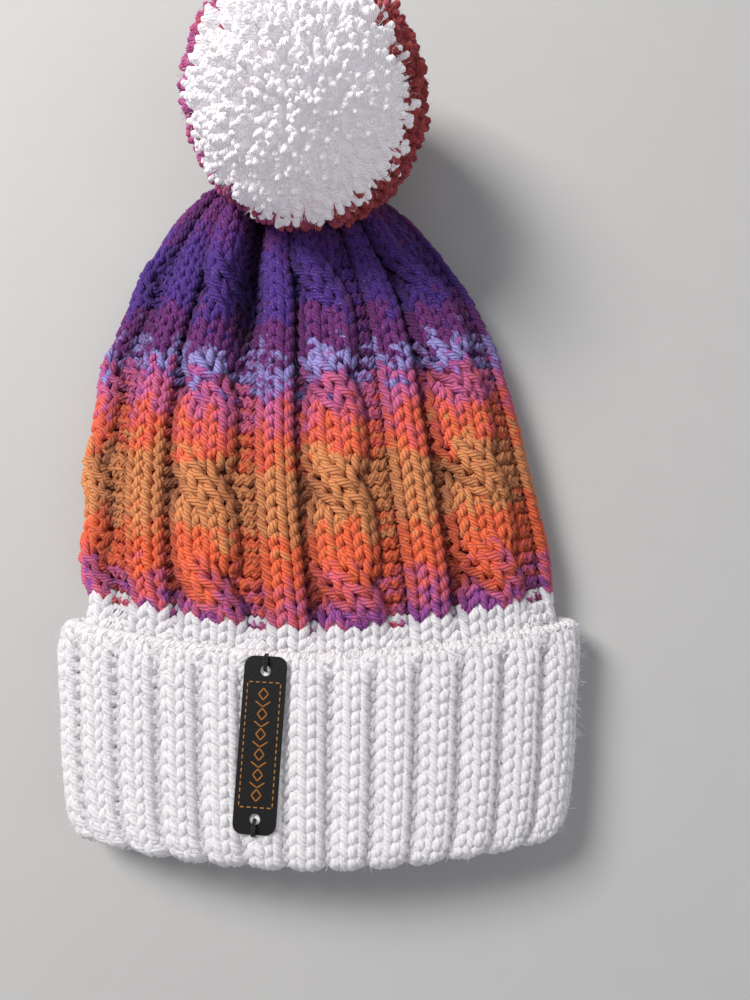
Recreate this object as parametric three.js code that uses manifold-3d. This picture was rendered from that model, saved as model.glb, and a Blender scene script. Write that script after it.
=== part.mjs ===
// A cable-knit bobble hat lying on its back, front up: folded white ribbed brim, banded crown,
// two-tone pompom and a leather strip label held by two threads. Millimetres.
// +X is to the right, +Y from the brim to the pompom and +Z up, towards the viewer of the front.
// The origin is on the flat underside of the brim, at the middle of the brim's height.
import * as THREE from "three";
import { mergeVertices } from "three/addons/utils/BufferGeometryUtils.js";
import Module from "manifold-3d";

const wasm = await Module();
wasm.setup();

// Whole hat, as it lies
const bodyWidth = 180; // the single fabric, under the folded brim
const hatLength = 258; // from the brim's fold to the gather
const lyingHeight = 30; // over both walls of the brim
const foldBelowOrigin = 35; // from the origin to the fold, at the hat's sides
const edgeDroop = 3; // how much lower the side edges lie than the middle
const pressed = 0.6; // how far the underside is pressed flat
const rowSlant = 13; // how far a knitted row's front middle lies below its ends
const rowCurve = 1.6; // power of that sag across the hat
const clearance = 0.3; // between pieces that touch

// Folded brim
const brimHeight = 76.5; // from the fold to the cast-on edge
const bandRise = 11; // how far the inner layer rises above the cast-on edge
const brimLayer = 4.6; // one layer of ribbed fabric
const layerGap = 0.8; // between the two layers
const brimFlare = 3; // how far the cast-on edge stands off at the sides
const ribCount = 26;
const ribShift = -0.0081; // of the way round, from the front middle to the nearest rib
const ribGrooveDepth = 1.5;
const ribGrooveShare = 0.24; // of a rib's pitch

// Crown
const crownWall = 5;
const gatherBulk = 6.5; // of bunched fabric at the gather
const foldGrowth = 0.16; // of hatLength, in which a gather's fold reaches its depth
const cableCount = 7;
const cableShift = 0.034; // of the way round, from the front middle to the nearest cable
const cableCrossing = 35; // along the hat, from one crossing to the next
const cableRelief = 2.4; // height of a cable above the fabric beside it
const cableDip = 0.45; // of that height, how deep a cable's middle lies between crossings

// Pompom
const pompomRadius = 45;
const pompomSink = 1; // how far its underside is flattened by its own weight
const pompomX = -5;
const pompomBeyondGather = 8; // its centre past the gather
const pompomCore = 0.88; // of its radius: the dense ball that the locks stand on
const crownEndReach = 1.6; // of its radius: the crown's stretch that is kept clear of it
const lockCount = 78;
const lockRadius = 6.6; // at its outer end
const whiteTilt = 35; // degrees: the white half leans towards the brim
const whiteLean = -3.5; // degrees: and a little to the left
const whiteShift = 0.44; // of its radius: the white half is the smaller one
const lockRoot = 0.7; // of its radius, where the locks start inside the core
const lockTaper = 0.8; // a lock's inner end, share of its outer end
const lockUneven = 0.03; // how much shorter every second and third lock is, share of the radius

// Label and its threads
const labelLength = 60;
const labelWidth = 15;
const labelThickness = 1.2;
const labelStandOff = 0.48; // its flat underside over the round brim's top
const labelCorner = 3.5;
const labelX = -19.3;
const labelTurn = -3.2; // degrees, seen from the front
const labelRoll = -1.4; // degrees, follows the round of the brim
const labelHoleRadius = 1.9;
const labelHoleInset = 5; // from the label's end to the hole's centre
const threadRadius = 0.55;

// The fabric's outer surface, a row for each section along the hat. along: share of hatLength from
// the fold. wide: share of bodyWidth. thick: share of lyingHeight. mid: sideways shift of the middle,
// share of bodyWidth. slant: share of rowSlant. lift: height above the floor, share of lyingHeight.
const bodyRows = [
  { along: 0.0, wide: 0.9, thick: 0.64, mid: 0, slant: 0.58, lift: 0.18 },
  { along: 0.035, wide: 0.95, thick: 0.64, mid: 0, slant: 0.62, lift: 0.18 },
  { along: 0.136, wide: 0.988, thick: 0.64, mid: 0, slant: 0.73, lift: 0.18 },
  { along: 0.291, wide: 0.994, thick: 0.64, mid: 0, slant: 0.88, lift: 0.18 },
  { along: 0.339, wide: 0.961, thick: 0.66, mid: 0.002, slant: 1, lift: 0.165 },
  { along: 0.391, wide: 0.971, thick: 0.87, mid: -0.006, slant: 1, lift: 0.06 },
  { along: 0.492, wide: 0.944, thick: 1, mid: -0.022, slant: 1, lift: 0 },
  { along: 0.601, wide: 0.9, thick: 1.04, mid: -0.034, slant: 0.92, lift: 0 },
  { along: 0.709, wide: 0.828, thick: 1.04, mid: -0.039, slant: 0.85, lift: 0 },
  { along: 0.787, wide: 0.731, thick: 1.02, mid: -0.041, slant: 0.7, lift: 0 },
  { along: 0.853, wide: 0.626, thick: 0.98, mid: -0.054, slant: 0.54, lift: 0 },
  { along: 0.911, wide: 0.511, thick: 0.92, mid: -0.061, slant: 0.38, lift: 0 },
  { along: 0.953, wide: 0.367, thick: 0.8, mid: -0.069, slant: 0.23, lift: 0 },
  { along: 0.981, wide: 0.211, thick: 0.6, mid: -0.072, slant: 0.08, lift: 0.05 },
  { along: 1.0, wide: 0.0, thick: 0.0, mid: -0.075, slant: 0, lift: 0.1 },
];

// Folds that run into the gather. around: share of the way round from the front middle. spread: the
// same, half the fold's width. depth: share of lyingHeight. starts: share of hatLength.
const gatherFolds = [
  { around: -0.078, spread: 0.02, depth: 0.27, starts: 0.66 },
  { around: -0.165, spread: 0.016, depth: 0.09, starts: 0.74 },
  { around: 0.045, spread: 0.018, depth: 0.1, starts: 0.7 },
  { around: 0.115, spread: 0.016, depth: 0.08, starts: 0.78 },
  { around: 0.19, spread: 0.022, depth: 0.13, starts: 0.72 },
  { around: 0.33, spread: 0.022, depth: 0.1, starts: 0.74 },
  { around: 0.46, spread: 0.024, depth: 0.12, starts: 0.7 },
  { around: 0.57, spread: 0.02, depth: 0.09, starts: 0.76 },
  { around: 0.7, spread: 0.022, depth: 0.12, starts: 0.72 },
];

// One repeat of the crown's pattern: cable, purl, knit pair, purl. at: share of the repeat from the
// cable's middle. low: depth below the cable's top, share of cableRelief.
const repeatProfile = [
  { at: -0.252, low: 0.95 },
  { at: -0.2, low: 0.2 },
  { at: -0.1, low: 0 },
  { at: 0, low: 0 },
  { at: 0.1, low: 0 },
  { at: 0.2, low: 0.2 },
  { at: 0.252, low: 0.95 },
  { at: 0.37, low: 1 },
  { at: 0.478, low: 0.85 },
  { at: 0.51, low: 0.4 },
  { at: 0.58, low: 0.45 },
  { at: 0.65, low: 0.4 },
  { at: 0.685, low: 0.95 },
  { at: 0.715, low: 1.1 },
];

const colours = {
  crown: 0xb4505a,
  brim: 0xe6e4ea,
  pompomWhite: 0xecebef,
  pompomColoured: 0xc0394f,
  label: 0x1b1a19,
  thread: 0x141414,
};

const sectionPower = 2.6; // of the flattened tube's superellipse
const castOnEdge = brimHeight - foldBelowOrigin; // along the hat, from the origin
const bandEdge = castOnEdge + bandRise;
const gatherPoint = hatLength - foldBelowOrigin;
const brimOut = layerGap + brimLayer; // outermost surface beyond the single fabric
const midHeight = lyingHeight / 2 - pressed;

const smooth = THREE.MathUtils.smoothstep;
const lerp = THREE.MathUtils.lerp;

// The row of bodyRows at a distance along the hat from the origin, interpolated.
function bodyAt(t) {
  const share = THREE.MathUtils.clamp((t + foldBelowOrigin) / hatLength, 0, 1);
  let k = 1;
  while (k < bodyRows.length - 1 && bodyRows[k].along < share) k++;
  const [low, high] = [bodyRows[k - 1], bodyRows[k]];
  const part = (share - low.along) / (high.along - low.along);
  const value = (name) => lerp(low[name], high[name], part);
  return {
    halfWidth: (value("wide") * bodyWidth) / 2,
    halfHeight: (value("thick") * lyingHeight) / 2,
    midX: value("mid") * bodyWidth,
    slant: value("slant") * rowSlant,
    lift: value("lift") * lyingHeight,
  };
}

// Superellipse quarter as even steps of arc length: [across, up], both from 0 to 1.
function evenSection() {
  const steps = 400;
  const aspect = lyingHeight / bodyWidth;
  const points = [];
  let length = 0;
  for (let i = 0; i <= steps; i++) {
    const angle = (i / steps) * (Math.PI / 2);
    const across = Math.pow(Math.sin(angle), 2 / sectionPower);
    const up = Math.pow(Math.max(Math.cos(angle), 0), 2 / sectionPower);
    const last = points[i - 1];
    if (last) length += Math.hypot(across - last.across, (up - last.up) * aspect);
    points.push({ across, up, length });
  }
  return { points, length };
}
const quarter = evenSection();

// The place on the section at a share of the way round: 0 is the front middle, 0.25 the right edge.
function sectionAt(around) {
  const turn = THREE.MathUtils.euclideanModulo(around, 1);
  const right = turn < 0.5 ? 1 : -1;
  const half = turn < 0.5 ? turn : 1 - turn;
  const front = half < 0.25 ? 1 : -1;
  const wanted = (1 - Math.abs(half - 0.25) / 0.25) * quarter.length;
  let k = 1;
  while (k < quarter.points.length - 1 && quarter.points[k].length < wanted) k++;
  const [low, high] = [quarter.points[k - 1], quarter.points[k]];
  const part = THREE.MathUtils.clamp((wanted - low.length) / (high.length - low.length), 0, 1);
  return {
    across: right * lerp(low.across, high.across, part),
    up: front * lerp(low.up, high.up, part),
  };
}

// The point at a share of the way round and a distance along the hat. out: beyond the single
// fabric's outer surface. flare: more half width. sunk: how far a groove or fold lies below.
function hatPoint(around, t, { out = 0, flare = 0, sunk = 0 }) {
  const body = bodyAt(t);
  const { across, up } = sectionAt(around);
  const rise = 1 - Math.pow(Math.abs(across), rowCurve);
  const x = body.midX + (body.halfWidth + out + flare - sunk * Math.abs(across)) * across;
  const y = t - body.slant * rise * Math.sign(up || 1);
  const droop = edgeDroop * across * across;
  const round = midHeight - droop + (body.halfHeight + out) * up;
  const floor = Math.max(body.lift - out, 0);
  return new THREE.Vector3(x, y, Math.max(round, floor) - sunk * up);
}

// Drops the triangles that have lost their area and merges the vertices that meet.
function closed(geometry) {
  geometry.deleteAttribute("normal");
  geometry.deleteAttribute("uv");
  const merged = mergeVertices(geometry, 1e-4);
  const kept = [];
  for (let i = 0; i < merged.index.count; i += 3) {
    const [a, b, c] = [0, 1, 2].map((k) => merged.index.getX(i + k));
    if (a !== b && b !== c && c !== a) kept.push(a, b, c);
  }
  merged.setIndex(kept);
  return merged;
}

// A closed wall of the hat: a profile of {t, out} points turned about the hat's own axis, and then
// each vertex put where place(around, point) says. A point with onAxis closes the wall there.
function turnedWall(profile, samples, place) {
  const axisFree = 1000; // keeps the turned radius away from zero except on the axis
  const outline = profile.map((p) => new THREE.Vector2(p.onAxis ? 0 : axisFree + p.out, p.t));
  const geometry = new THREE.LatheGeometry(outline, samples.length);
  const position = geometry.getAttribute("position");
  for (let k = 0; k < position.count; k++) {
    const around = samples[Math.floor(k / profile.length) % samples.length];
    const p = profile[k % profile.length];
    const spot = p.onAxis
      ? new THREE.Vector3(bodyAt(p.t).midX, p.t, midHeight)
      : place(around, p);
    position.setXYZ(k, spot.x, spot.y, spot.z);
  }
  return closed(geometry);
}

// Samples round the hat: the same few places in each of count equal repeats.
function samplesOf(count, shift, places) {
  const all = [];
  for (let i = 0; i < count; i++)
    for (const place of places) all.push(shift + (i + place) / count);
  return all;
}

// Folded brim: the inner layer down from the band edge, round the fold, and the outer layer back up
// to the cast-on edge, as one closed profile.
function brimProfile() {
  const foldRadius = (2 * brimLayer + layerGap) / 2;
  const foldCentre = brimOut - foldRadius;
  const foldStart = foldRadius - foldBelowOrigin;
  const points = [];
  const add = (t, out) => points.push({ t, out });
  add(bandEdge, -brimLayer);
  add(brimLayer, -brimLayer);
  for (let i = 0; i <= 4; i++) {
    const angle = (i / 4) * Math.PI;
    add(foldStart - foldRadius * Math.sin(angle), foldCentre - foldRadius * Math.cos(angle));
  }
  add(0, brimOut);
  add(castOnEdge - brimLayer, brimOut);
  const edgeCentre = brimOut - brimLayer / 2;
  for (let i = 1; i <= 3; i++) {
    const angle = (i / 4) * Math.PI;
    const t = castOnEdge - brimLayer / 2 + (Math.sin(angle) * brimLayer) / 2;
    add(t, edgeCentre + (Math.cos(angle) * brimLayer) / 2);
  }
  add(castOnEdge - brimLayer, layerGap);
  add(foldStart + brimLayer, layerGap);
  add(foldStart + brimLayer / 2, layerGap / 2);
  add(foldStart + brimLayer, 0);
  add(castOnEdge - brimLayer, 0);
  add(bandEdge, 0);
  points.push(points[0]);
  return points;
}

// Depth of the ribs' grooves on the outer faces, fading to nothing at the smooth cast-on band.
function ribGroove(around, p) {
  const place = THREE.MathUtils.euclideanModulo((around - ribShift) * ribCount, 1);
  const inGroove = 1 - smooth(Math.abs(place - 0.5), 0, ribGrooveShare / 2);
  const outer = p.out > brimOut - brimLayer / 2 ? 1 : 0;
  const fade = 1 - smooth(p.t, castOnEdge - 2 * brimLayer, castOnEdge - brimLayer);
  return ribGrooveDepth * inGroove * outer * fade;
}

function foldedBrim() {
  const edge = ribGrooveShare / 2;
  const samples = samplesOf(ribCount, ribShift, [0, 0.5 - edge, 0.5, 0.5 + edge]);
  return turnedWall(brimProfile(), samples, (around, p) => {
    const outer = p.out > 0 ? p.out / brimOut : 0;
    const flare = brimFlare * outer * smooth(p.t, 0, castOnEdge);
    return hatPoint(around, p.t, { out: p.out, flare, sunk: ribGroove(around, p) });
  });
}

// Depth of the gather's folds at a place on the crown.
function gatherDepth(around, t) {
  let depth = 0;
  for (const fold of gatherFolds) {
    const apart = THREE.MathUtils.euclideanModulo(around - fold.around + 0.5, 1) - 0.5;
    const away = Math.abs(apart) / fold.spread;
    const start = fold.starts * hatLength - foldBelowOrigin;
    const grow = smooth(t, start, start + hatLength * foldGrowth);
    depth += fold.depth * lyingHeight * grow * Math.exp(-away * away);
  }
  return depth * (1 - smooth(t, gatherPoint - crownWall * 3, gatherPoint));
}

// Depth of the pattern below the cables' tops, at one of the repeat's own places.
function patternDepth(sample, t) {
  const place = repeatProfile[sample % repeatProfile.length];
  const wave = 0.5 - 0.5 * Math.cos((2 * Math.PI * (t - bandEdge)) / cableCrossing);
  const low = place.at === 0 ? cableDip * wave : place.low;
  const fade = 1 - smooth(t, gatherPoint - crownWall * 4, gatherPoint);
  return cableRelief * low * fade;
}

// The crown's surface: the fabric with its folds, and outside also the pattern.
function crownSurface(profile, samples) {
  return turnedWall(profile, samples, (around, p) => {
    const sample = samples.indexOf(around);
    const pattern = p.plain ? 0 : patternDepth(sample, p.t);
    return hatPoint(around, p.t, { out: p.out, sunk: gatherDepth(around, p.t) + pattern });
  });
}

// Closed wall from the band edge up to the gather outside, and back down inside.
function crown() {
  const places = repeatProfile.map((row) => row.at);
  const start = bandEdge + clearance;
  const length = gatherPoint - start;
  const outside = [0, 0.05, 0.15, 0.25, 0.36, 0.47, 0.58, 0.68, 0.77, 0.85, 0.91, 0.95, 0.98];
  const inside = [0.94, 0.88, 0.77, 0.58, 0.3, 0.1, 0];
  const profile = outside.map((share) => ({ t: start + share * length, out: 0 }));
  profile.push({ t: gatherPoint, onAxis: true });
  profile.push({ t: gatherPoint - gatherBulk, onAxis: true, plain: true });
  for (const share of inside)
    profile.push({ t: start + share * length, out: -crownWall, plain: true });
  profile.push(profile[0]);
  return crownSurface(profile, samplesOf(cableCount, cableShift, places));
}

// A closed mesh as a solid for joins and cuts.
function solidOf(geometry) {
  const whole = closed(geometry);
  return new wasm.Manifold(
    new wasm.Mesh({
      numProp: 3,
      vertProperties: new Float32Array(whole.getAttribute("position").array),
      triVerts: new Uint32Array(whole.index.array),
    }),
  );
}

function geometryOf(solid) {
  const mesh = solid.getMesh();
  const geometry = new THREE.BufferGeometry();
  geometry.setAttribute("position", new THREE.BufferAttribute(mesh.vertProperties, 3));
  geometry.setIndex(new THREE.BufferAttribute(mesh.triVerts, 1));
  return geometry;
}

const pompomCentre = new THREE.Vector3(
  pompomX,
  gatherPoint + pompomBeyondGather,
  pompomRadius - pompomSink,
);
const whiteWay = new THREE.Vector3(0, 0, 1).applyEuler(
  new THREE.Euler(whiteTilt * THREE.MathUtils.DEG2RAD, whiteLean * THREE.MathUtils.DEG2RAD, 0),
);

// A block that covers all of the pompom on one side of the plane where its halves meet.
function halfSpace(side) {
  const size = pompomRadius * 4;
  const block = new THREE.BoxGeometry(size, size, size);
  const turn = new THREE.Quaternion().setFromUnitVectors(new THREE.Vector3(0, 0, 1), whiteWay);
  const plane = pompomRadius * whiteShift + (side * clearance) / 2;
  const centre = whiteWay.clone().multiplyScalar(plane + (side * size) / 2).add(pompomCentre);
  block.applyMatrix4(new THREE.Matrix4().compose(centre, turn, new THREE.Vector3(1, 1, 1)));
  return solidOf(block);
}

// Everything under the floor.
function underFloor() {
  const size = pompomRadius * 4;
  const block = new THREE.BoxGeometry(size, size, size);
  return solidOf(block.translate(pompomCentre.x, pompomCentre.y, -size / 2));
}

// The crown's end without its hollow, a little larger, so that the pompom sits round it.
function crownEnd() {
  const start = gatherPoint - pompomRadius * crownEndReach;
  const shares = [0, 0.2, 0.4, 0.55, 0.68, 0.79, 0.88, 0.95];
  const profile = [{ t: start, onAxis: true }];
  for (const share of shares)
    profile.push({ t: start + share * (gatherPoint - start), out: 3 * clearance, plain: true });
  profile.push({ t: gatherPoint + 2 * clearance, onAxis: true });
  return solidOf(crownSurface(profile, samplesOf(cableCount, cableShift, [0, 0.25, 0.5, 0.75])));
}

// One lock of yarn from the core out to the pompom's surface, where it spreads.
function lock(way, reach) {
  const base = pompomRadius * lockRoot;
  const cone = new THREE.CylinderGeometry(lockRadius, lockRadius * lockTaper, reach - base, 6);
  const turn = new THREE.Quaternion().setFromUnitVectors(new THREE.Vector3(0, 1, 0), way);
  const centre = way.clone().multiplyScalar((reach + base) / 2).add(pompomCentre);
  cone.applyMatrix4(new THREE.Matrix4().compose(centre, turn, new THREE.Vector3(1, 1, 1)));
  return solidOf(cone);
}

// Directions spread evenly over a ball, in a spiral from pole to pole.
function evenWays(count) {
  const golden = Math.PI * (3 - Math.sqrt(5));
  return Array.from({ length: count }, (_, i) => {
    const z = 1 - (2 * (i + 0.5)) / count;
    const ring = Math.sqrt(1 - z * z);
    return new THREE.Vector3(ring * Math.cos(golden * i), ring * Math.sin(golden * i), z);
  });
}

// The biggest of a solid's separate bodies: a cut can leave the tip of a lock loose.
function mainBody(solid) {
  return solid.decompose().reduce((best, body) => (body.volume() > best.volume() ? body : best));
}

// One half of the pompom: half of the core with its locks, cut round the crown and at the floor.
function pompomHalf(side, keptClear) {
  const ball = new THREE.SphereGeometry(pompomRadius * pompomCore, 20, 12);
  let solid = solidOf(ball.translate(...pompomCentre));
  evenWays(lockCount).forEach((way, i) => {
    const height = way.dot(whiteWay) * pompomRadius - whiteShift * pompomRadius;
    if (height * side < lockRadius + clearance) return;
    const reach = pompomRadius * (1 - lockUneven * (i % 3));
    solid = solid.add(lock(way, reach));
  });
  const half = solid.intersect(halfSpace(side));
  return geometryOf(mainBody(half.subtract(keptClear).subtract(underFloor())));
}

// The label's frame: +Y along it, +Z off the brim, the origin in the middle of its underside.
function labelFrame() {
  const body = bodyAt(0);
  const across = labelX / (body.halfWidth + brimOut);
  const dome = Math.pow(1 - Math.pow(Math.abs(across), sectionPower), 1 / sectionPower);
  const surface = midHeight - edgeDroop * across * across + (body.halfHeight + brimOut) * dome;
  const turn = new THREE.Euler(
    0,
    labelRoll * THREE.MathUtils.DEG2RAD,
    labelTurn * THREE.MathUtils.DEG2RAD,
    "ZYX",
  );
  return {
    place: new THREE.Vector3(labelX, 0, surface + labelStandOff),
    turn: new THREE.Quaternion().setFromEuler(turn),
  };
}

function label() {
  const [w, h, r] = [labelWidth / 2, labelLength / 2, labelCorner];
  const shape = new THREE.Shape();
  shape.moveTo(w - r, -h);
  shape.absarc(w - r, r - h, r, -Math.PI / 2, 0);
  shape.absarc(w - r, h - r, r, 0, Math.PI / 2);
  shape.absarc(r - w, h - r, r, Math.PI / 2, Math.PI);
  shape.absarc(r - w, r - h, r, Math.PI, Math.PI * 1.5);
  for (const end of [1, -1])
    shape.holes.push(
      new THREE.Path().absarc(0, end * (h - labelHoleInset), labelHoleRadius, 0, 2 * Math.PI, true),
    );
  return new THREE.ExtrudeGeometry(shape, {
    depth: labelThickness,
    bevelEnabled: false,
    curveSegments: 5,
  });
}

// A short thread: out of the label's hole, over its end and down to the knitting.
function labelThread(end) {
  const hole = labelLength / 2 - labelHoleInset;
  const over = labelThickness + threadRadius + clearance;
  const past = labelLength / 2 + threadRadius + clearance;
  const low = threadRadius + clearance;
  const points = [
    new THREE.Vector3(0.2, end * hole, low),
    new THREE.Vector3(0.2, end * (hole + 0.5), over),
    new THREE.Vector3(0.5, end * (hole + labelHoleInset * 0.6), over + 0.25),
    new THREE.Vector3(0.3, end * (past - threadRadius), over),
    new THREE.Vector3(0.1, end * (past + threadRadius), low),
  ];
  const path = new THREE.CatmullRomCurve3(points, false, "centripetal");
  const round = new THREE.Shape().absarc(0, 0, threadRadius, 0, 2 * Math.PI);
  return new THREE.ExtrudeGeometry(round, {
    extrudePath: path,
    steps: 10,
    curveSegments: 3,
    bevelEnabled: false,
  });
}

function pieceOf(name, geometry, colour, roughness) {
  const material = new THREE.MeshStandardMaterial({ color: colour, roughness, metalness: 0 });
  const mesh = new THREE.Mesh(geometry, material);
  mesh.name = name;
  return mesh;
}

const hat = new THREE.Group();
hat.add(pieceOf("folded_brim", foldedBrim(), colours.brim, 0.95));
hat.add(pieceOf("crown", crown(), colours.crown, 0.95));
const keptClear = crownEnd();
hat.add(pieceOf("pompom_white_half", pompomHalf(1, keptClear), colours.pompomWhite, 1));
hat.add(pieceOf("pompom_coloured_half", pompomHalf(-1, keptClear), colours.pompomColoured, 1));

const tag = new THREE.Group();
const { place, turn } = labelFrame();
tag.position.copy(place);
tag.quaternion.copy(turn);
tag.add(pieceOf("label", label(), colours.label, 0.6));
tag.add(pieceOf("label_thread_upper", labelThread(1), colours.thread, 0.8));
tag.add(pieceOf("label_thread_lower", labelThread(-1), colours.thread, 0.8));
hat.add(tag);

export default hat;
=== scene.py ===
"""Looks of a cable-knit bobble hat lying on its back: knitted stitches, pompom, label and fluff."""

import bmesh
import bpy
import numpy as np
from bpy.props import FloatProperty, FloatVectorProperty, IntProperty, PointerProperty
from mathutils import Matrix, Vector


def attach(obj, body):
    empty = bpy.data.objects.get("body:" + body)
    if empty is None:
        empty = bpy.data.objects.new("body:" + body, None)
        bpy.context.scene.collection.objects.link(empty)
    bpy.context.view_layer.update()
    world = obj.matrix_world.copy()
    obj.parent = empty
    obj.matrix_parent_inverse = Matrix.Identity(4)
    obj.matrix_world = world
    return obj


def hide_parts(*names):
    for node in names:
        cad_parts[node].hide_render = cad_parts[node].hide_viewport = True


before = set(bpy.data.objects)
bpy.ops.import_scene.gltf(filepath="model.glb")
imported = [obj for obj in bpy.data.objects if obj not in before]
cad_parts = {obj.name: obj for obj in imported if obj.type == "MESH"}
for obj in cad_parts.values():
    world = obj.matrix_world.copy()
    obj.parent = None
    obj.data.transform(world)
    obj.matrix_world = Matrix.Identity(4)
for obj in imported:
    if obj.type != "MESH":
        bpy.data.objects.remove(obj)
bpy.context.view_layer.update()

bl_info = {
    "name": "Bobble hat looks",
    "version": (1, 0, 0),
    "blender": (4, 5, 0),
    "location": "View3D > Sidebar > Hat",
    "description": "Builds the knitting, pompom, label and stage of a bobble hat",
    "category": "Object",
}

MM = 0.001
BODY = "root"

# The fabric's outer surface, a row for each section along the hat. along: share of the hat's length
# from the fold. wide: share of the body's width. thick and lift: shares of the lying height. mid:
# share of the body's width. slant: share of the row slant.
BODY_COLUMNS = ("along", "wide", "thick", "mid", "slant", "lift")
BODY_ROWS = (
    (0.000, 0.900, 0.64, 0.000, 0.58, 0.180),
    (0.035, 0.950, 0.64, 0.000, 0.62, 0.180),
    (0.136, 0.988, 0.64, 0.000, 0.73, 0.180),
    (0.291, 0.994, 0.64, 0.000, 0.88, 0.180),
    (0.339, 0.961, 0.66, 0.002, 1.00, 0.165),
    (0.391, 0.971, 0.87, -0.006, 1.00, 0.060),
    (0.492, 0.944, 1.00, -0.022, 1.00, 0.000),
    (0.601, 0.900, 1.04, -0.034, 0.92, 0.000),
    (0.709, 0.828, 1.04, -0.039, 0.85, 0.000),
    (0.787, 0.731, 1.02, -0.041, 0.70, 0.000),
    (0.853, 0.626, 0.98, -0.054, 0.54, 0.000),
    (0.911, 0.511, 0.92, -0.061, 0.38, 0.000),
    (0.953, 0.367, 0.80, -0.069, 0.23, 0.000),
    (0.981, 0.211, 0.60, -0.072, 0.08, 0.050),
    (1.000, 0.000, 0.00, -0.075, 0.00, 0.100),
)

# Folds that run into the gather: place round the hat from the front middle, half width round the
# hat, depth as a share of the lying height, and where they start as a share of the hat's length.
FOLD_COLUMNS = ("around", "spread", "depth", "starts")
GATHER_FOLDS = (
    (-0.078, 0.021, 0.42, 0.64),
    (-0.165, 0.016, 0.09, 0.74),
    (0.045, 0.018, 0.10, 0.70),
    (0.115, 0.016, 0.08, 0.78),
    (0.190, 0.022, 0.13, 0.72),
    (0.330, 0.022, 0.10, 0.74),
    (0.460, 0.024, 0.12, 0.70),
    (0.570, 0.020, 0.09, 0.76),
    (0.700, 0.022, 0.12, 0.72),
)

# One repeat of each knitting pattern: 1 for a knit stitch, -1 for a purl stitch. The crown's is a
# cable, purl columns, a pair of knit columns and one last purl column; the ribbing's is a pair of
# knit columns and a purl column.
CABLE_COLUMNS = 4
PURL_COLUMNS = 3
KNIT_COLUMNS = 2
KNIT_FIRST = CABLE_COLUMNS + PURL_COLUMNS
LAST_PURL = KNIT_FIRST + KNIT_COLUMNS
CROWN_REPEAT = (1,) * CABLE_COLUMNS + (-1,) * PURL_COLUMNS + (1,) * KNIT_COLUMNS + (-1,)
RIB_REPEAT = (1,) * KNIT_COLUMNS + (-1,)

# Rows from one crossing of a cable to the next, the row of the first one, and how many rows before
# and after it the stitches move across and rise.
CABLE_ROWS = 7.9
FIRST_CROSSING = 2.7
ROWS_TO_CROSS = 2.6
ROWS_TO_RISE = 2.9

# Parts of one repeat's width, at the band and at the gather: the cable, the pair of knit columns
# and the last purl column.
CABLE_PART = (0.490, 0.600)
KNIT_PART = (0.290, 0.250)
LAST_PURL_PART = (0.065, 0.035)
CABLE_SWELL = 0.22
RIB_KNIT_PART = 0.375
RIB_PURL_PART = 0.25

# Where the crown's stitches begin and end to draw together, in millimetres from the origin.
GATHERING = (150.0, 206.0)

# Heights of the yarn's middle over the hat's outer surface, in millimetres: the lowest of each kind
# of stitch, and what its dome, its crossing or its place adds.
CABLE_LOW = -2.6
CABLE_STITCH_DOME = 1.2
CABLE_CREST = 1.7
CABLE_CROSSING = 2.1
CABLE_TUCKED = -2.4
KNIT_LOW = -2.3
KNIT_DOME = 1.4
PURL_LOW = -4.7
PURL_MIDDLE = 0.9
PURL_GATHERED = -0.5
RIB_LOW = -2.1
RIB_DOME = 1.0
RIB_PURL = -1.5
CROWN_BACKING_OUT = -3.8

# Painted shade, from 0 for none to 1 for the darkest, down in the grooves: at a cable's sides and
# where it passes under, at the sides of a knit pair, in purl columns and how much paler their
# middle is, in creases, between ribs and in the mouth.
CABLE_SIDE_DIM = 0.82
CABLE_UNDER_DIM = 0.3
KNIT_SIDE_DIM = 0.7
PURL_DIM = 0.96
PURL_MIDDLE_PALER = 0.62
CREASE_DIM = 0.95
RIB_PURL_DIM = 0.22
MOUTH_DIM = 0.85

# Yarn radii in one turn of the yarn's twist, the yarn's thickness against its width, the radii of
# loose fibres, and how near to the floor yarn and the tips of strands may come, in millimetres.
TWIST_LENGTH = 6.0
YARN_FLATNESS = 0.92
FIBRE_RADII = (0.07, 0.14)
LOWEST_YARN = 0.04
LOWEST_TIP = 0.03
LOWEST_FIBRE = 0.1

# Yarn colours of the crown from the white band up to the gather, and of the pompom's coloured half
# from left to right, by the names of the colour settings.
BAND_STOPS = (
    (0.000, "orchid"),
    (0.030, "pink"),
    (0.078, "coral"),
    (0.110, "orange"),
    (0.175, "orange"),
    (0.215, "tan"),
    (0.340, "tan"),
    (0.372, "orange"),
    (0.425, "coral"),
    (0.460, "pink"),
    (0.500, "pink"),
    (0.520, "orchid"),
    (0.540, "lavender"),
    (0.562, "lavender"),
    (0.585, "plum"),
    (0.640, "plum"),
    (0.672, "indigo"),
    (0.800, "indigo"),
    (0.880, "plum"),
    (1.000, "plum"),
)
POMPOM_STOPS = (
    (0.00, "pompom_left"),
    (0.35, "pompom_middle"),
    (0.72, "pompom_right"),
    (1.00, "pompom_edge"),
)
# Pale fibre flecks on the yarn, partly painted sheen.
PALE_FIBRE_SHEEN = (0.80, 0.74, 0.80, 1.0)
GROOVE_SHADE = (0.26, 0.22, 0.28, 1.0)
SCUFFED_LEATHER = (0.011, 0.0095, 0.0095, 1.0)
BACKING_SHADE = (0.42, 0.38, 0.44, 1.0)
WHITE = (1.0, 1.0, 1.0, 1.0)

# Where the label lies across the brim, and the middle and half sizes of the room round it that
# loose fibres leave clear, in millimetres.
LABEL_X = -19.3
LABEL_MIDDLE = (LABEL_X, 0.0, 30.0)
LABEL_KEPT_CLEAR = (10.0, 33.0, 12.0)

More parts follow.
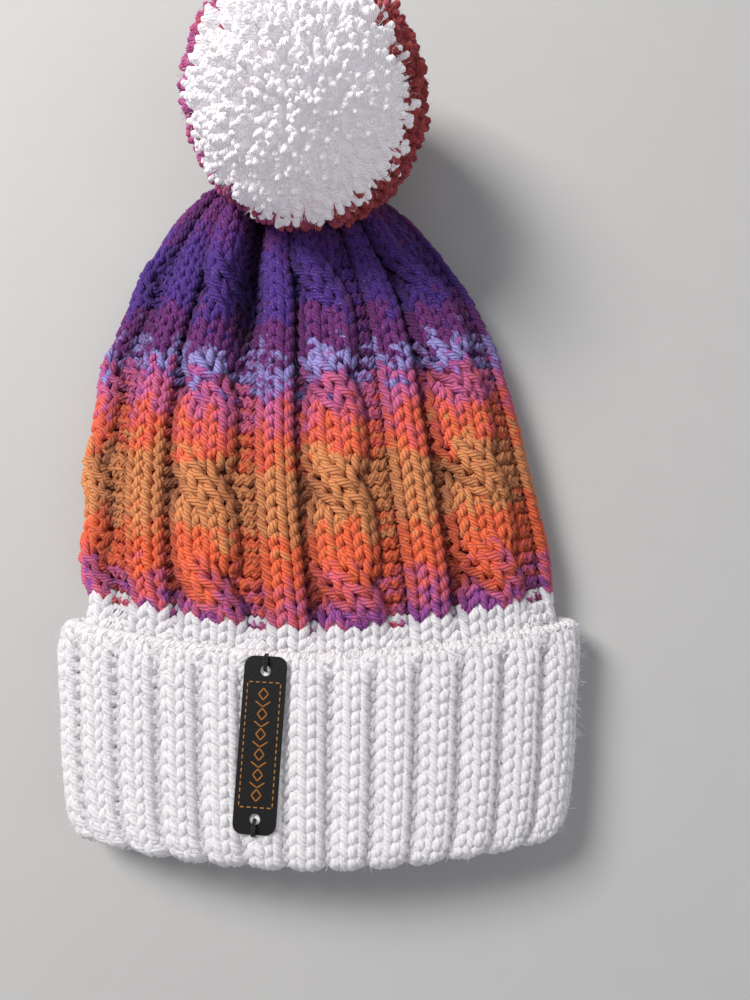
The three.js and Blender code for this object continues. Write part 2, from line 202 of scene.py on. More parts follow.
# The stage in metres: name, place, size, power and colour of each light, the point that they face,
# and the camera of the photograph.
LIGHTS = (
    ("window", (-0.75, 0.75, 0.9), 0.5, 23.0, (1.0, 0.985, 0.96)),
    ("fill", (0.9, -0.3, 0.9), 1.2, 3.0, (0.95, 0.97, 1.0)),
)
LIT_POINT = (0.0, 0.1, 0.0)
ROOM_COLOUR = (0.92, 0.94, 1.0, 1.0)
ROOM_STRENGTH = 0.33
FLOOR_SIZE = 6.0
CAMERA_PLACE = (0.0205, 0.0495, 0.303)
CAMERA_TILT = np.radians(7.5)
CAMERA_LENS = 27.36


def length_setting(name, description, metres):
    """A length that a user can change."""
    return FloatProperty(name=name, description=description, default=metres, unit="LENGTH")


class HatSizes(bpy.types.PropertyGroup):
    """Sizes of the hat as it lies."""

    body_width: length_setting("Body width", "Width of the single fabric", 0.180)
    hat_length: length_setting("Hat length", "From the fold to the gather", 0.258)
    lying_height: length_setting("Lying height", "Over both walls of the brim", 0.030)
    fold_below: length_setting("Fold below origin", "From the origin to the fold", 0.035)
    edge_droop: length_setting("Edge droop", "How much lower the sides lie", 0.003)
    pressed: length_setting("Pressed", "How far the underside is flat", 0.0006)
    row_slant: length_setting("Row slant", "Sag of a row's front middle", 0.013)
    brim_height: length_setting("Brim height", "From the fold to the edge", 0.0765)
    band_rise: length_setting("Band rise", "Inner layer above the brim's edge", 0.011)
    brim_layer: length_setting("Brim layer", "One layer of ribbing", 0.0046)
    layer_gap: length_setting("Layer gap", "Between the brim's layers", 0.0008)
    brim_flare: length_setting("Brim flare", "How far the edge stands off", 0.003)
    crown_wall: length_setting("Crown wall", "Thickness of the crown's fabric", 0.005)
    pompom_radius: length_setting("Pompom radius", "Out to the yarn's cut ends", 0.045)


class YarnSettings(bpy.types.PropertyGroup):
    """Yarn and stitches."""

    row_pitch: length_setting("Row pitch", "Height of one stitch", 0.0047)
    yarn_radius: length_setting("Yarn radius", "Half the yarn's thickness", 0.00172)
    stitch_samples: IntProperty(
        name="Samples", description="Points along the yarn in one stitch", default=10, min=8
    )
    yarn_sides: IntProperty(name="Sides", description="Sides of the yarn", default=6, min=3)
    strand_count: IntProperty(
        name="Pompom strands", description="Cut ends of the pompom", default=4400, min=100
    )
    fluff_count: IntProperty(
        name="Fluff", description="Loose fibres on the knitting", default=34000, min=0
    )
    seed: IntProperty(name="Seed", description="Seed of all irregularities", default=11)


def colour_setting(name, description, rgb):
    """A colour that a user can change, from sRGB numbers up to 255."""
    return FloatVectorProperty(
        name=name, description=description, default=[c / 255 for c in rgb],
        subtype="COLOR_GAMMA", size=3, min=0.0, max=1.0,
    )


class HatColours(bpy.types.PropertyGroup):
    """Colours of the yarns, the label and the floor."""

    # One white yarn: the pompom's copy is paler, painted light against the shade among its strands.
    white_wool: colour_setting("White wool", "Brim and band", (213, 210, 213))
    white_tufts: colour_setting("White tufts", "Front of the pompom", (240, 236, 240))
    orchid: colour_setting("Orchid", "First row over the band", (150, 72, 148))
    pink: colour_setting("Pink", "Beside the orange", (198, 94, 138))
    coral: colour_setting("Coral", "Between pink and orange", (222, 92, 84))
    orange: colour_setting("Orange", "Beside the tan", (232, 102, 60))
    tan: colour_setting("Tan", "Widest band", (212, 136, 84))
    lavender: colour_setting("Lavender", "Palest band", (146, 138, 200))
    plum: colour_setting("Plum", "Under the indigo", (102, 36, 106))
    indigo: colour_setting("Indigo", "Top of the crown", (74, 40, 128))
    pompom_left: colour_setting("Pompom left", "Magenta strands", (176, 84, 152))
    pompom_middle: colour_setting("Pompom middle", "Rose strands", (194, 88, 124))
    pompom_right: colour_setting("Pompom right", "Red strands", (188, 80, 76))
    pompom_edge: colour_setting("Pompom edge", "Darkest strands", (150, 54, 60))
    leather: colour_setting("Leather", "The label", (19, 18, 18))
    gold_print: colour_setting("Gold print", "Motif on the label", (150, 94, 32))
    border_thread: colour_setting("Border thread", "Dashes on the label", (158, 112, 58))
    black_thread: colour_setting("Black thread", "Ties of the label", (20, 19, 19))
    white_backing: colour_setting("White shade", "Under the brim's stitches", (176, 172, 184))
    floor: colour_setting("Floor", "Ground under the hat", (184, 183, 182))


def srgb(colour):
    """Linear RGBA of an sRGB colour from 0 to 255."""
    c = np.asarray(colour, float) / 255.0
    linear = np.where(c <= 0.04045, c / 12.92, ((c + 0.055) / 1.055) ** 2.4)
    return (*linear.tolist(), 1.0)


def chosen(name):
    """Linear RGBA of a colour setting."""
    return srgb([255 * c for c in getattr(bpy.context.scene.hat_colours, name)])


def smoothstep(x, low, high):
    """0 below low, 1 above high, and an even S between."""
    q = np.clip((x - low) / (high - low), 0.0, 1.0)
    return q * q * (3.0 - 2.0 * q)


def lerp(a, b, q):
    """Straight blend from a to b."""
    return a + (b - a) * q


def unit(v):
    """Vectors of length one along the last axis."""
    return v / np.maximum(np.linalg.norm(v, axis=-1, keepdims=True), 1e-9)


class HatForm:
    """The hat's surface in millimetres: a flattened tube whose section is a superellipse, with half
    sizes from the table along the hat, rows slanted from front to back, and folds at the gather."""

    power = 2.6
    rib_count = 26
    rib_shift = -0.0081
    cable_count = 7
    cable_shift = 0.034
    least_height = 0.05
    sag_power = 1.6
    # The way round the section against the way round the box that holds it.
    corner_share = 0.93
    fold_growth = 0.16

    def __init__(self, sizes, yarn):
        for name in HatSizes.__annotations__:
            setattr(self, name, getattr(sizes, name) / MM)
        self.pitch = yarn.row_pitch / MM
        self.yarn_radius = yarn.yarn_radius / MM
        self.cast_on = self.brim_height - self.fold_below
        self.band_edge = self.cast_on + self.band_rise
        self.gather = self.hat_length - self.fold_below
        self.crown_length = self.gather - self.band_edge
        self.brim_out = self.layer_gap + self.brim_layer
        self.mid_height = self.lying_height / 2 - self.pressed
        self.table = self._smoothed_table()
        self.quarter = self._even_quarter()

    def _smoothed_table(self):
        """The table along the hat in fine steps, its corners rounded by a short running mean."""
        steps, reach = 516, 11
        fine = np.linspace(0.0, 1.0, steps)
        rows = np.array(BODY_ROWS)
        table = {"along": fine}
        window = np.hanning(2 * reach + 1)
        window /= window.sum()
        for k, name in enumerate(BODY_COLUMNS[1:], 1):
            column = np.interp(fine, rows[:, 0], rows[:, k])
            padded = np.pad(column, reach, mode="reflect", reflect_type="odd")
            table[name] = np.convolve(padded, window, mode="valid")
        table["wide"][-1] = 0.0
        table["thick"][-1] = 0.0
        return table

    def _even_quarter(self):
        """A quarter of the superellipse in even steps of its arc length: across, up, length."""
        angle = np.linspace(0.0, np.pi / 2, 801)
        across = np.sin(angle) ** (2 / self.power)
        up = np.maximum(np.cos(angle), 0.0) ** (2 / self.power)
        aspect = self.lying_height / self.body_width
        steps = np.hypot(np.diff(across), np.diff(up) * aspect)
        length = np.concatenate(([0.0], np.cumsum(steps)))
        return across, up, length / length[-1]

    def body(self, t):
        """Half width, half height, middle, slant and lift at distances along the hat."""
        share = np.clip((t + self.fold_below) / self.hat_length, 0.0, 1.0)
        value = {n: np.interp(share, self.table["along"], self.table[n]) for n in BODY_COLUMNS[1:]}
        return (
            value["wide"] * self.body_width / 2,
            value["thick"] * self.lying_height / 2,
            value["mid"] * self.body_width,
            value["slant"] * self.row_slant,
            np.maximum(value["lift"], 0.0) * self.lying_height,
        )

    def section(self, around):
        """Across and up, from -1 to 1, at shares of the way round from the front middle."""
        turn = np.mod(around, 1.0)
        right = np.where(turn < 0.5, 1.0, -1.0)
        half = np.where(turn < 0.5, turn, 1.0 - turn)
        front = np.where(half < 0.25, 1.0, -1.0)
        wanted = 1.0 - np.abs(half - 0.25) / 0.25
        across, up, length = self.quarter
        return right * np.interp(wanted, length, across), front * np.interp(wanted, length, up)

    def folds(self, around, t):
        """Depth of the gather's folds."""
        depth = np.zeros(np.broadcast(around, t).shape)
        for row in GATHER_FOLDS:
            fold = dict(zip(FOLD_COLUMNS, row))
            away = np.abs(np.mod(around - fold["around"] + 0.5, 1.0) - 0.5) / fold["spread"]
            start = fold["starts"] * self.hat_length - self.fold_below
            grow = smoothstep(t, start, start + self.hat_length * self.fold_growth)
            depth = depth + fold["depth"] * self.lying_height * grow * np.exp(-away * away)
        return depth * (1.0 - smoothstep(t, self.gather - self.crown_wall * 3, self.gather))

    def point(self, around, t, out=0.0, flare=0.0, sunk=0.0):
        """Points on the fabric: out lies beyond its outer surface, sunk below it."""
        around, t, out, flare, sunk = np.broadcast_arrays(around, t, out, flare, sunk)
        half_width, half_height, mid_x, slant, lift = self.body(t)
        across, up = self.section(around)
        rise = 1.0 - np.abs(across) ** self.sag_power
        width = np.maximum(half_width + out + flare - sunk * np.abs(across), 0.0)
        x = mid_x + width * across
        y = t - slant * rise * np.where(up >= 0, 1.0, -1.0)
        height = np.maximum(half_height + out, 0.0)
        z = self.mid_height - self.edge_droop * across**2 + height * up
        floor = np.maximum(lift - out, 0.0)
        z = np.maximum(z, floor) - sunk * up
        return np.stack([x, y, np.maximum(z, self.least_height)], axis=-1)

    def creased(self, around, t, w):
        """The crown's fabric with its folds, at distances along the hat, w millimetres out."""
        return self.point(around, t, out=w, sunk=self.folds(around, t))

    def crown(self, around, v, w):
        """The crown's fabric by rows: v counts them from the band edge."""
        return self.creased(around, self.band_edge + v * self.pitch, w)

    def flared(self, around, t, out):
        """The brim's layers at distances along the hat; the outer one stands off at its edge."""
        share = np.clip(out / self.brim_out, 0.0, 1.0)
        flare = self.brim_flare * share * smoothstep(t, 0.0, self.cast_on)
        return self.point(around, t, out=out, flare=flare)

    def brim_path(self, s):
        """Distance along the hat, out, and the path's normal in that plane, s millimetres from the
        inside of the cast-on edge over it, down the outside, round the fold and up inside."""
        lead_in, run_out, step = 6.0, 30.0, 0.4
        edge = self.brim_layer / 2
        fold = (2 * self.brim_layer + self.layer_gap) / 2
        fold_start = fold - self.fold_below
        top = self.cast_on - edge
        angle = np.linspace(0.0, np.pi, 25)
        inner = [(top - lead_in, self.layer_gap)]
        over = [(top + edge * np.sin(a), self.brim_out - edge - edge * np.cos(a)) for a in angle]
        under = [
            (fold_start - fold * np.sin(a), self.brim_out - fold + fold * np.cos(a)) for a in angle
        ]
        inside = [(fold_start + run_out, -self.brim_layer)]
        line = np.array(inner + over + under + inside)
        steps = np.hypot(*np.diff(line, axis=0).T)
        length = np.concatenate(([0.0], np.cumsum(steps)))
        t = np.interp(s, length, line[:, 0])
        out = np.interp(s, length, line[:, 1])
        dt = np.interp(s + step, length, line[:, 0]) - np.interp(s - step, length, line[:, 0])
        do = np.interp(s + step, length, line[:, 1]) - np.interp(s - step, length, line[:, 1])
        size = np.maximum(np.hypot(dt, do), 1e-6)
        return t, out, do / size, -dt / size

    def brim(self, around, v, w):
        """The brim's fabric along its path, v counts rows from the cast-on edge."""
        first_row = 3.0
        t, out, normal_t, normal_out = self.brim_path(first_row + v * self.pitch)
        return self.flared(around, t + normal_t * w, out + normal_out * w)


# Meshes


def material(name):
    """The scene's material of that name, made by its own function on first use."""
    found = bpy.data.materials.get(name)
    return found or MATERIAL_MAKERS[name](name)


def mesh_piece(name, points, faces, uv=None, values=None, looks=None):
    """A mesh object from millimetre points and an array of triangles or quads. values holds float
    attributes by name, one number a point; uv holds a pair for each corner of each face."""
    mesh = bpy.data.meshes.new(name)
    points = np.ascontiguousarray(points.reshape(-1, 3) * MM, dtype=np.float32)
    faces = np.ascontiguousarray(faces, dtype=np.int32)
    count, corners = faces.shape
    mesh.vertices.add(len(points))
    mesh.vertices.foreach_set("co", points.ravel())
    mesh.loops.add(count * corners)
    mesh.loops.foreach_set("vertex_index", faces.ravel())
    mesh.polygons.add(count)
    mesh.polygons.foreach_set("loop_start", np.arange(count, dtype=np.int32) * corners)
    mesh.update(calc_edges=True)
    mesh.polygons.foreach_set("use_smooth", np.full(count, True))
    if uv is not None:
        layer = mesh.uv_layers.new(name="Yarn")
        layer.uv.foreach_set("vector", np.ascontiguousarray(uv, dtype=np.float32).ravel())
    for key, array in (values or {}).items():
        attribute = mesh.attributes.new(key, "FLOAT", "POINT")
        attribute.data.foreach_set("value", np.ascontiguousarray(array, np.float32).ravel())
    mesh.materials.append(material(looks or name))
    mesh.validate()
    piece = bpy.data.objects.new(name, mesh)
    bpy.context.scene.collection.objects.link(piece)
    return piece


def close_seams(mesh, reach=0.02):
    """Merges points within reach millimetres of each other and turns the faces outwards."""
    surface = bmesh.new()
    surface.from_mesh(mesh)
    bmesh.ops.remove_doubles(surface, verts=surface.verts, dist=reach * MM)
    bmesh.ops.recalc_face_normals(surface, faces=surface.faces)
    surface.to_mesh(mesh)
    surface.free()


def finish_piece(piece, slot, *nodes):
    """Puts a piece on the hat's body and hides the imported nodes that it stands for; slot is not
    used.
    """
    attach(piece, BODY)
    if nodes:
        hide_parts(*nodes)
    return piece


def grid_faces(rows, columns, wrap_rows, wrap_columns):
    """Quads of a grid whose points are numbered row by row, each direction open or wrapped."""
    i = np.arange(rows if wrap_rows else rows - 1)[:, None]
    j = np.arange(columns if wrap_columns else columns - 1)[None, :]
    i2, j2 = (i + 1) % rows, (j + 1) % columns
    corners = [i * columns + j, i * columns + j2, i2 * columns + j2, i2 * columns + j]
    return np.stack([np.broadcast_to(c, (len(i), j.shape[1])) for c in corners], -1).reshape(-1, 4)


def tube_rings(centre, ahead, behind, radius, outward, sides, flat):
    """Sections across many centre lines at once: ellipses flat times as thick towards outward, kept
    off the floor. centre is (lines, steps, 3), radius (lines, steps)."""
    tangent = unit(ahead - behind)
    normal = unit(outward - np.sum(outward * tangent, -1, keepdims=True) * tangent)
    side = np.cross(tangent, normal)
    theta = np.arange(sides) / sides * 2 * np.pi
    ring = (
        np.cos(theta)[:, None] * normal[:, :, None, :] * flat
        + np.sin(theta)[:, None] * side[:, :, None, :]
    )
    points = centre[:, :, None, :] + radius[:, :, None, None] * ring
    points[..., 2] = np.maximum(points[..., 2], LOWEST_YARN * (1.0 + np.cos(theta)))
    return points


def closed_tubes(centre, radius, outward, sides, twist_pitch, flat=1.0):
    """Tubes round closed centre lines: points, quads, and uv with turns of twist along the yarn and
    shares of the way round it."""
    lines, steps, _ = centre.shape
    ahead, behind = np.roll(centre, -1, axis=1), np.roll(centre, 1, axis=1)
    points = tube_rings(centre, ahead, behind, radius, outward, sides, flat)
    one = grid_faces(steps, sides, True, True)
    faces = (one[None] + (np.arange(lines) * steps * sides)[:, None, None]).reshape(-1, 4)
    gaps = np.linalg.norm(ahead - centre, axis=-1)
    turns = np.concatenate([np.zeros((lines, 1)), np.cumsum(gaps, axis=1)], axis=1) / twist_pitch
    turns *= np.maximum(np.round(turns[:, -1:]), 1.0) / turns[:, -1:]
    low, high = turns[:, :-1], turns[:, 1:]
    u = np.stack([low, low, high, high], -1)[:, :, None, :].repeat(sides, axis=2)
    j = np.arange(sides) / sides
    v = np.stack([j, j + 1 / sides, j + 1 / sides, j], -1)
    v = np.broadcast_to(v, (lines, steps, sides, 4))
    return points, faces, np.stack([u, v], -1).reshape(-1, 2)


def capped_tubes(centre, radius, outward, sides, twist_pitch=1.0, flat=1.0):
    """Tubes round open centre lines, whose first and last points are closed tips: points of each
    line, triangles, and uv as in closed_tubes."""
    lines, steps, _ = centre.shape
    ahead = np.concatenate([centre[:, 1:], centre[:, -1:]], axis=1)
    behind = np.concatenate([centre[:, :1], centre[:, :-1]], axis=1)
    rings = tube_rings(centre, ahead, behind, radius, outward, sides, flat)[:, 1:-1]
    points = np.concatenate([centre[:, :1], rings.reshape(lines, -1, 3), centre[:, -1:]], axis=1)
    points[..., 2] = np.maximum(points[..., 2], LOWEST_TIP)
    tip = (steps - 2) * sides + 1
    quads = grid_faces(steps - 2, sides, False, True) + 1
    low, high = np.arange(1, sides + 1), np.arange(tip - sides, tip)
    root_fan = np.stack([0 * low, np.roll(low, -1), low], -1)
    tip_fan = np.stack([high, np.roll(high, -1), 0 * high + tip], -1)
    one = np.concatenate([quads[:, [0, 1, 2]], quads[:, [0, 2, 3]], root_fan, tip_fan])
    faces = (one[None] + (np.arange(lines) * (tip + 1))[:, None, None]).reshape(-1, 3)
    gaps = np.linalg.norm(np.diff(centre, axis=1), axis=-1)
    turns = np.concatenate([np.zeros((lines, 1)), np.cumsum(gaps, axis=1)], axis=1) / twist_pitch
    level = np.concatenate([[0], np.arange(1, steps - 1).repeat(sides), [steps - 1]])
    share = np.concatenate([[0.5], np.tile(np.arange(sides) / sides, steps - 2), [0.5]])[one]
    share = share + (share.max(axis=1, keepdims=True) - share > 0.5)
    u = turns[:, level[one]]
    return points, faces, np.stack([u, np.broadcast_to(share, u.shape)], -1).reshape(-1, 2)


# Knitting


def cable_motion(row, v, left_group):
    """Where a cable's group of stitches lies: sideways from -1 to 1, its rise from -1 to 1, and how
    near a crossing is. Two groups swap places at each crossing, the one from the right on top."""
    nearest = np.round((row + 0.5 - FIRST_CROSSING) / CABLE_ROWS) * CABLE_ROWS + FIRST_CROSSING
    before = row + 0.5 < nearest
    over = np.where(left_group, ~before, before)
    away = v - nearest
    swap = smoothstep(away, -ROWS_TO_CROSS, ROWS_TO_CROSS)
    from_right = 1.0 - 2.0 * swap
    bump = np.cos(np.clip(away / ROWS_TO_RISE, -1.0, 1.0) * np.pi / 2) ** 2
    return np.where(over, from_right, -from_right), np.where(over, bump, -bump), bump


def crown_layout(form, column, row, u, v):
    """Places of the crown's stitches: share of the way round, row, millimetres out, and the painted
    shade there, darkest down in the grooves. One repeat is four cable stitches, three purl, two
    knit and one purl. A cable's stitches stand across their strand, turned as it runs, and the yarn
    that joins its two groups passes behind them."""
    in_repeat, repeat = column % len(CROWN_REPEAT), column // len(CROWN_REPEAT)
    t = form.band_edge + v * form.pitch
    gathered = smoothstep(t, *GATHERING)
    relief = smoothstep(v, -2.0, 1.0)
    cable_w = lerp(*CABLE_PART, gathered) / CABLE_COLUMNS
    knit_w = lerp(*KNIT_PART, gathered) / KNIT_COLUMNS
    last_w = lerp(*LAST_PURL_PART, gathered)
    middle = CABLE_COLUMNS / 2 * cable_w
    knit_start = 1.0 - KNIT_COLUMNS * knit_w - last_w
    cable = in_repeat < CABLE_COLUMNS
    left = in_repeat < CABLE_COLUMNS / 2
    knit = (in_repeat >= KNIT_FIRST) & (in_repeat < LAST_PURL)
    side, rise, bump = cable_motion(row, row + 0.5, left)
    ahead, _, _ = cable_motion(row, row + 0.6, left)
    drift = (ahead - side) / 0.1
    side = side + drift * (v - row - 0.5)
    box_round = 2.0 * (2.0 * form.body(t)[0] + form.lying_height)
    repeat_mm = box_round / form.cable_count * form.corner_share
    slope = drift * cable_w * repeat_mm / form.pitch
    lean = 1.0 / np.sqrt(1.0 + slope * slope)
    in_group = np.mod(in_repeat, CABLE_COLUMNS // 2) + u - 1.0
    in_pair = in_repeat - KNIT_FIRST - 1 + u
    purl_place = (in_repeat - CABLE_COLUMNS + u) / PURL_COLUMNS
    stitch_w = cable_w * (1.0 + CABLE_SWELL * bump)
    edge = np.abs(side) * cable_w + stitch_w
    x = middle + side * cable_w + in_group * stitch_w * lean
    turned = np.where(cable, in_group * stitch_w * repeat_mm * slope * lean / form.pitch, 0.0)
    purl_x = middle + edge + purl_place * (knit_start - middle - edge)
    knit_x = knit_start + (in_repeat - KNIT_FIRST + u) * knit_w
    last_x = lerp(1.0 - last_w, 1.0 + middle - edge, u)
    x = np.where(cable, x, np.where(knit, knit_x, purl_x))
    x = np.where(in_repeat >= LAST_PURL, last_x, x)
    around = form.cable_shift + (repeat + x - middle) / form.cable_count
    dome = 1.0 - in_group**2
    crest = 1.0 - ((side + in_group) / (1.0 + np.abs(side))) ** 2
    tucked = bump * np.exp(-(((np.abs(in_group) - 1.0) / 0.07) ** 2))
    cable_out = (
        CABLE_LOW
        + CABLE_STITCH_DOME * dome
        + CABLE_CREST * np.clip(crest, 0.0, 1.0)
        + CABLE_CROSSING * rise
        + CABLE_TUCKED * tucked
    )
    knit_out = KNIT_LOW + KNIT_DOME * (1.0 - in_pair**2)
    purl_share = np.clip(purl_place, 0.0, 1.0)
    purl_middle = np.where(in_repeat < LAST_PURL, 4.0 * purl_share * (1.0 - purl_share), 0.0)
    purl_out = PURL_LOW + PURL_MIDDLE * purl_middle + PURL_GATHERED * gathered
    out = np.where(cable, cable_out, np.where(knit, knit_out, purl_out))
    # Painted shade at a cable's sides and under it, at a knit pair's sides, in purl columns and
    # creases.
    cable_painted_shade = CABLE_SIDE_DIM * smoothstep(1.0 - crest, 0.38, 1.0)
    cable_painted_shade = cable_painted_shade + CABLE_UNDER_DIM * np.clip(-rise, 0.0, 1.0)
    knit_painted_shade = KNIT_SIDE_DIM * smoothstep(np.abs(in_pair), 0.62, 1.0)
    purl_painted_shade = PURL_DIM - PURL_MIDDLE_PALER * purl_middle
    dim = np.where(cable, cable_painted_shade, np.where(knit, knit_painted_shade, purl_painted_shade))
    crease = smoothstep(form.folds(around, t) / form.lying_height, 0.04, 0.30)
    dim = np.clip(np.maximum(dim, CREASE_DIM * crease), 0.0, 1.0)
    return around, v - turned, lerp(KNIT_LOW, out, relief), dim * relief


def rib_layout(form, column, row, u, v):
    """Places of the ribbing's stitches: two knit columns that stand up and a narrow purl column
    that sinks between ribs with painted shade in it, fading to a plain edge at the cast-on row, and
    painted shade deep in the mouth."""
    in_rib, rib = column % len(RIB_REPEAT), column // len(RIB_REPEAT)
    knit = in_rib < KNIT_COLUMNS
    purl_start = KNIT_COLUMNS * RIB_KNIT_PART
    x = np.where(knit, (in_rib + u) * RIB_KNIT_PART, purl_start + u * RIB_PURL_PART)
    around = form.rib_shift + (rib + x - RIB_KNIT_PART) / form.rib_count
    ribbed = smoothstep(v, 2.2, 4.2)
    knit_out = RIB_LOW + RIB_DOME * (1.0 - (in_rib - 1 + u) ** 2) * ribbed
    out = np.where(knit, knit_out, RIB_LOW + RIB_PURL * ribbed)
    # Painted shade in the purl columns between ribs and deep in the mouth.
    in_mouth = MOUTH_DIM * smoothstep(v, 17.8, 21.5)
    dim = np.maximum(np.where(knit, 0.0, RIB_PURL_DIM) * ribbed, in_mouth)
    return around, v, out, dim


# The surface, layout, pattern and number of repeats of each knitted fabric.
FABRICS = {
    "crown": (HatForm.crown, crown_layout, CROWN_REPEAT, HatForm.cable_count),
    "brim": (HatForm.brim, rib_layout, RIB_REPEAT, HatForm.rib_count),
}


def band_tone(form, column, row, v):
    """The colour's place along the crown: the yarn climbs one row in one turn."""
    climbed = row + column / (form.cable_count * len(CROWN_REPEAT)) + 0.25 * (v - row)
    return climbed * form.pitch / form.crown_length


def knitted_fabric(name, form, yarn, fabric, rows, rng, looks, full=1.0):
    """Courses of knitted stitches, each one closed ring of yarn. In a stitch the yarn runs along
    x = s/2pi + a sin 2s, y = -b cos s and z = -c cos 2s, which leans into the rows above and below
    and comes forward at the legs; purl stitches have z turned round. a and b are shares of a
    stitch, c of the yarn's radius, and each varies a little. full makes the yarn thicker."""
    place, layout, pattern, repeats = FABRICS[fabric]
    samples, sides = yarn.stitch_samples, yarn.yarn_sides
    row = np.asarray(rows, float)[:, None, None]
    columns = repeats * len(pattern)
    column = np.arange(columns)[None, :, None]
    face = np.tile(pattern, repeats)[None, :, None].astype(float)
    s = (np.arange(samples) / samples * 2 * np.pi)[None, None, :]
    loose = rng.normal(0.0, 1.0, (3, len(rows), columns, 1))
    a = 0.25 + 0.015 * loose[0]
    b = 0.79 + 0.09 * face + 0.035 * loose[1]
    c = 0.69 - 0.07 * face + 0.05 * loose[2]
    u = s / (2 * np.pi) + a * np.sin(2 * s)
    v = row + 0.5 - b * np.cos(s)
    v = v + 0.06 * np.sin(column * 0.9 + row * 1.7)
    around, v, out, dim = layout(form, column, row, u, v)
    radius = form.yarn_radius
    w = out - face * c * np.cos(2 * s) * radius
    centre = place(form, around, v, w)
    outward = unit(place(form, around, v, w + 0.5) - centre)
    shape = (len(rows), columns * samples)
    plump = full * radius * (1.06 - 0.06 * face - 0.08 * face * np.cos(2 * s))
    plump = plump * (1.0 + 0.04 * loose[0])
    plump = np.broadcast_to(plump, centre.shape[:-1]).reshape(shape)
    points, faces, uv = closed_tubes(
        centre.reshape(*shape, 3), plump, outward.reshape(*shape, 3), sides,
        radius * TWIST_LENGTH, YARN_FLATNESS,
    )
    # The painted shade goes to the material as a mesh attribute.
    values = {"dim": dim}
    if looks == "banded_yarn":
        values["band"] = band_tone(form, column, row, v)
    for key, value in values.items():
        whole = np.broadcast_to(value, centre.shape[:-1])
        values[key] = whole.reshape(shape)[:, :, None].repeat(sides, 2)
    return mesh_piece(name, points, faces, uv, values, looks)


def shell(name, profile_t, profile_out, place, looks):
    """A smooth closed wall under the stitches: a closed profile of distances along the hat and
    out, turned round the hat's section. A profile that ends in the gather is merged there."""
    around = np.linspace(0.0, 1.0, 132, endpoint=False)
    points = place(around[:, None], profile_t[None, :], profile_out[None, :])
    faces = grid_faces(len(around), len(profile_t), True, True)
    piece = mesh_piece(name, points, faces[:, ::-1], looks=looks)
    close_seams(piece.data)
    return piece


def fluff(name, place, rows, count, rng, looks, reach, rooted=-0.2, **tones):
    """Fine loose fibres: each a thin three-sided spindle along root + q*a + q*q*b, a leaning away
    from the fabric and b bending back along it. tones holds functions of the place by the name of
    the attribute that they fill."""
    around = rng.uniform(0.0, 1.0, count)
    v = rng.uniform(rows[0], rows[1], count)
    root = place(around, v, np.full(count, rooted))
    off_label = np.abs(root - LABEL_MIDDLE) > LABEL_KEPT_CLEAR
    around, v, root = (a[off_label.any(axis=1)] for a in (around, v, root))
    count = len(root)
    normal = unit(place(around, v, np.full(count, rooted + 1.0)) - root)
    wander = rng.normal(0.0, 1.0, (count, 3))
    bend = rng.normal(0.0, 1.0, (count, 3))
    size = (reach * rng.uniform(0.35, 1.0, count) ** 1.5)[:, None]
    first = unit(normal * 0.7 + wander * 0.6) * size
    second = bend * size * 0.35 - normal * size * 0.25
    q = np.linspace(0.0, 1.0, 3)[None, :, None]
    centre = root[:, None, :] + first[:, None, :] * q + second[:, None, :] * q * q
    centre[..., 2] = np.maximum(centre[..., 2], LOWEST_FIBRE)
    thin = rng.uniform(*FIBRE_RADII, (count, 1)) * (1.0 - 0.75 * q[..., 0])
    outward = unit(np.cross(first, second))[:, None, :] * np.ones((1, 3, 1))
    points, faces, _ = capped_tubes(centre, thin, outward, 3)
    values = {
        key: tone(around, v)[:, None].repeat(points.shape[1], axis=1) for key, tone in tones.items()
    }
    return mesh_piece(name, points, faces, values=values, looks=looks)


# Materials


def connect(tree, socket, value):
    """Puts a number, a colour or another node's output into a socket."""
    if isinstance(value, bpy.types.NodeSocket):
        tree.links.new(value, socket)
    else:
        socket.default_value = value


def math_node(tree, operation, *values):
    """A math node's output; each operand is a number or a socket."""
    node = tree.nodes.new("ShaderNodeMath")
    node.operation = operation
    for socket, value in zip(node.inputs, values):
        connect(tree, socket, value)
    return node.outputs[0]


def mix_colours(tree, factor, first, second, blend="MIX"):
    """A colour mix's output; each operand is a value or a socket."""
    node = tree.nodes.new("ShaderNodeMix")
    node.data_type = "RGBA"
    node.blend_type = blend
    for index, value in ((0, factor), (6, first), (7, second)):
        connect(tree, node.inputs[index], value)
    return node.outputs[2]


def object_noise(tree, scale, detail=3.0, roughness=0.5):
    """Noise through the object's own coordinates."""
    place = tree.nodes.new("ShaderNodeTexCoord")
    noise = tree.nodes.new("ShaderNodeTexNoise")
    connect(tree, noise.inputs["Scale"], scale)
    noise.inputs["Detail"].default_value = detail
    noise.inputs["Roughness"].default_value = roughness
    tree.links.new(place.outputs["Object"], noise.inputs["Vector"])
    return noise.outputs["Fac"]


def attribute_value(tree, name):
    """The value of a mesh attribute, 0 where a piece has none."""
    node = tree.nodes.new("ShaderNodeAttribute")
    node.attribute_name = name
    return node.outputs["Fac"]


def smooth_range(tree, value, low, high):
    """A socket's values from low to high as a soft step from 0 to 1."""
    node = tree.nodes.new("ShaderNodeMapRange")
    node.interpolation_type = "SMOOTHSTEP"
    node.inputs["From Min"].default_value = low
    node.inputs["From Max"].default_value = high
    tree.links.new(value, node.inputs["Value"])
    return node.outputs["Result"]


def ramp_node(tree, factor, stops):
    """A colour ramp through the named colour settings."""
    node = tree.nodes.new("ShaderNodeValToRGB")
    elements = node.color_ramp.elements
    elements[0].position, elements[0].color = stops[0][0], chosen(stops[0][1])
    elements[1].position, elements[1].color = stops[-1][0], chosen(stops[-1][1])
    for position, colour in stops[1:-1]:
        elements.new(position).color = chosen(colour)
    tree.links.new(factor, node.inputs["Fac"])
    return node.outputs["Color"]


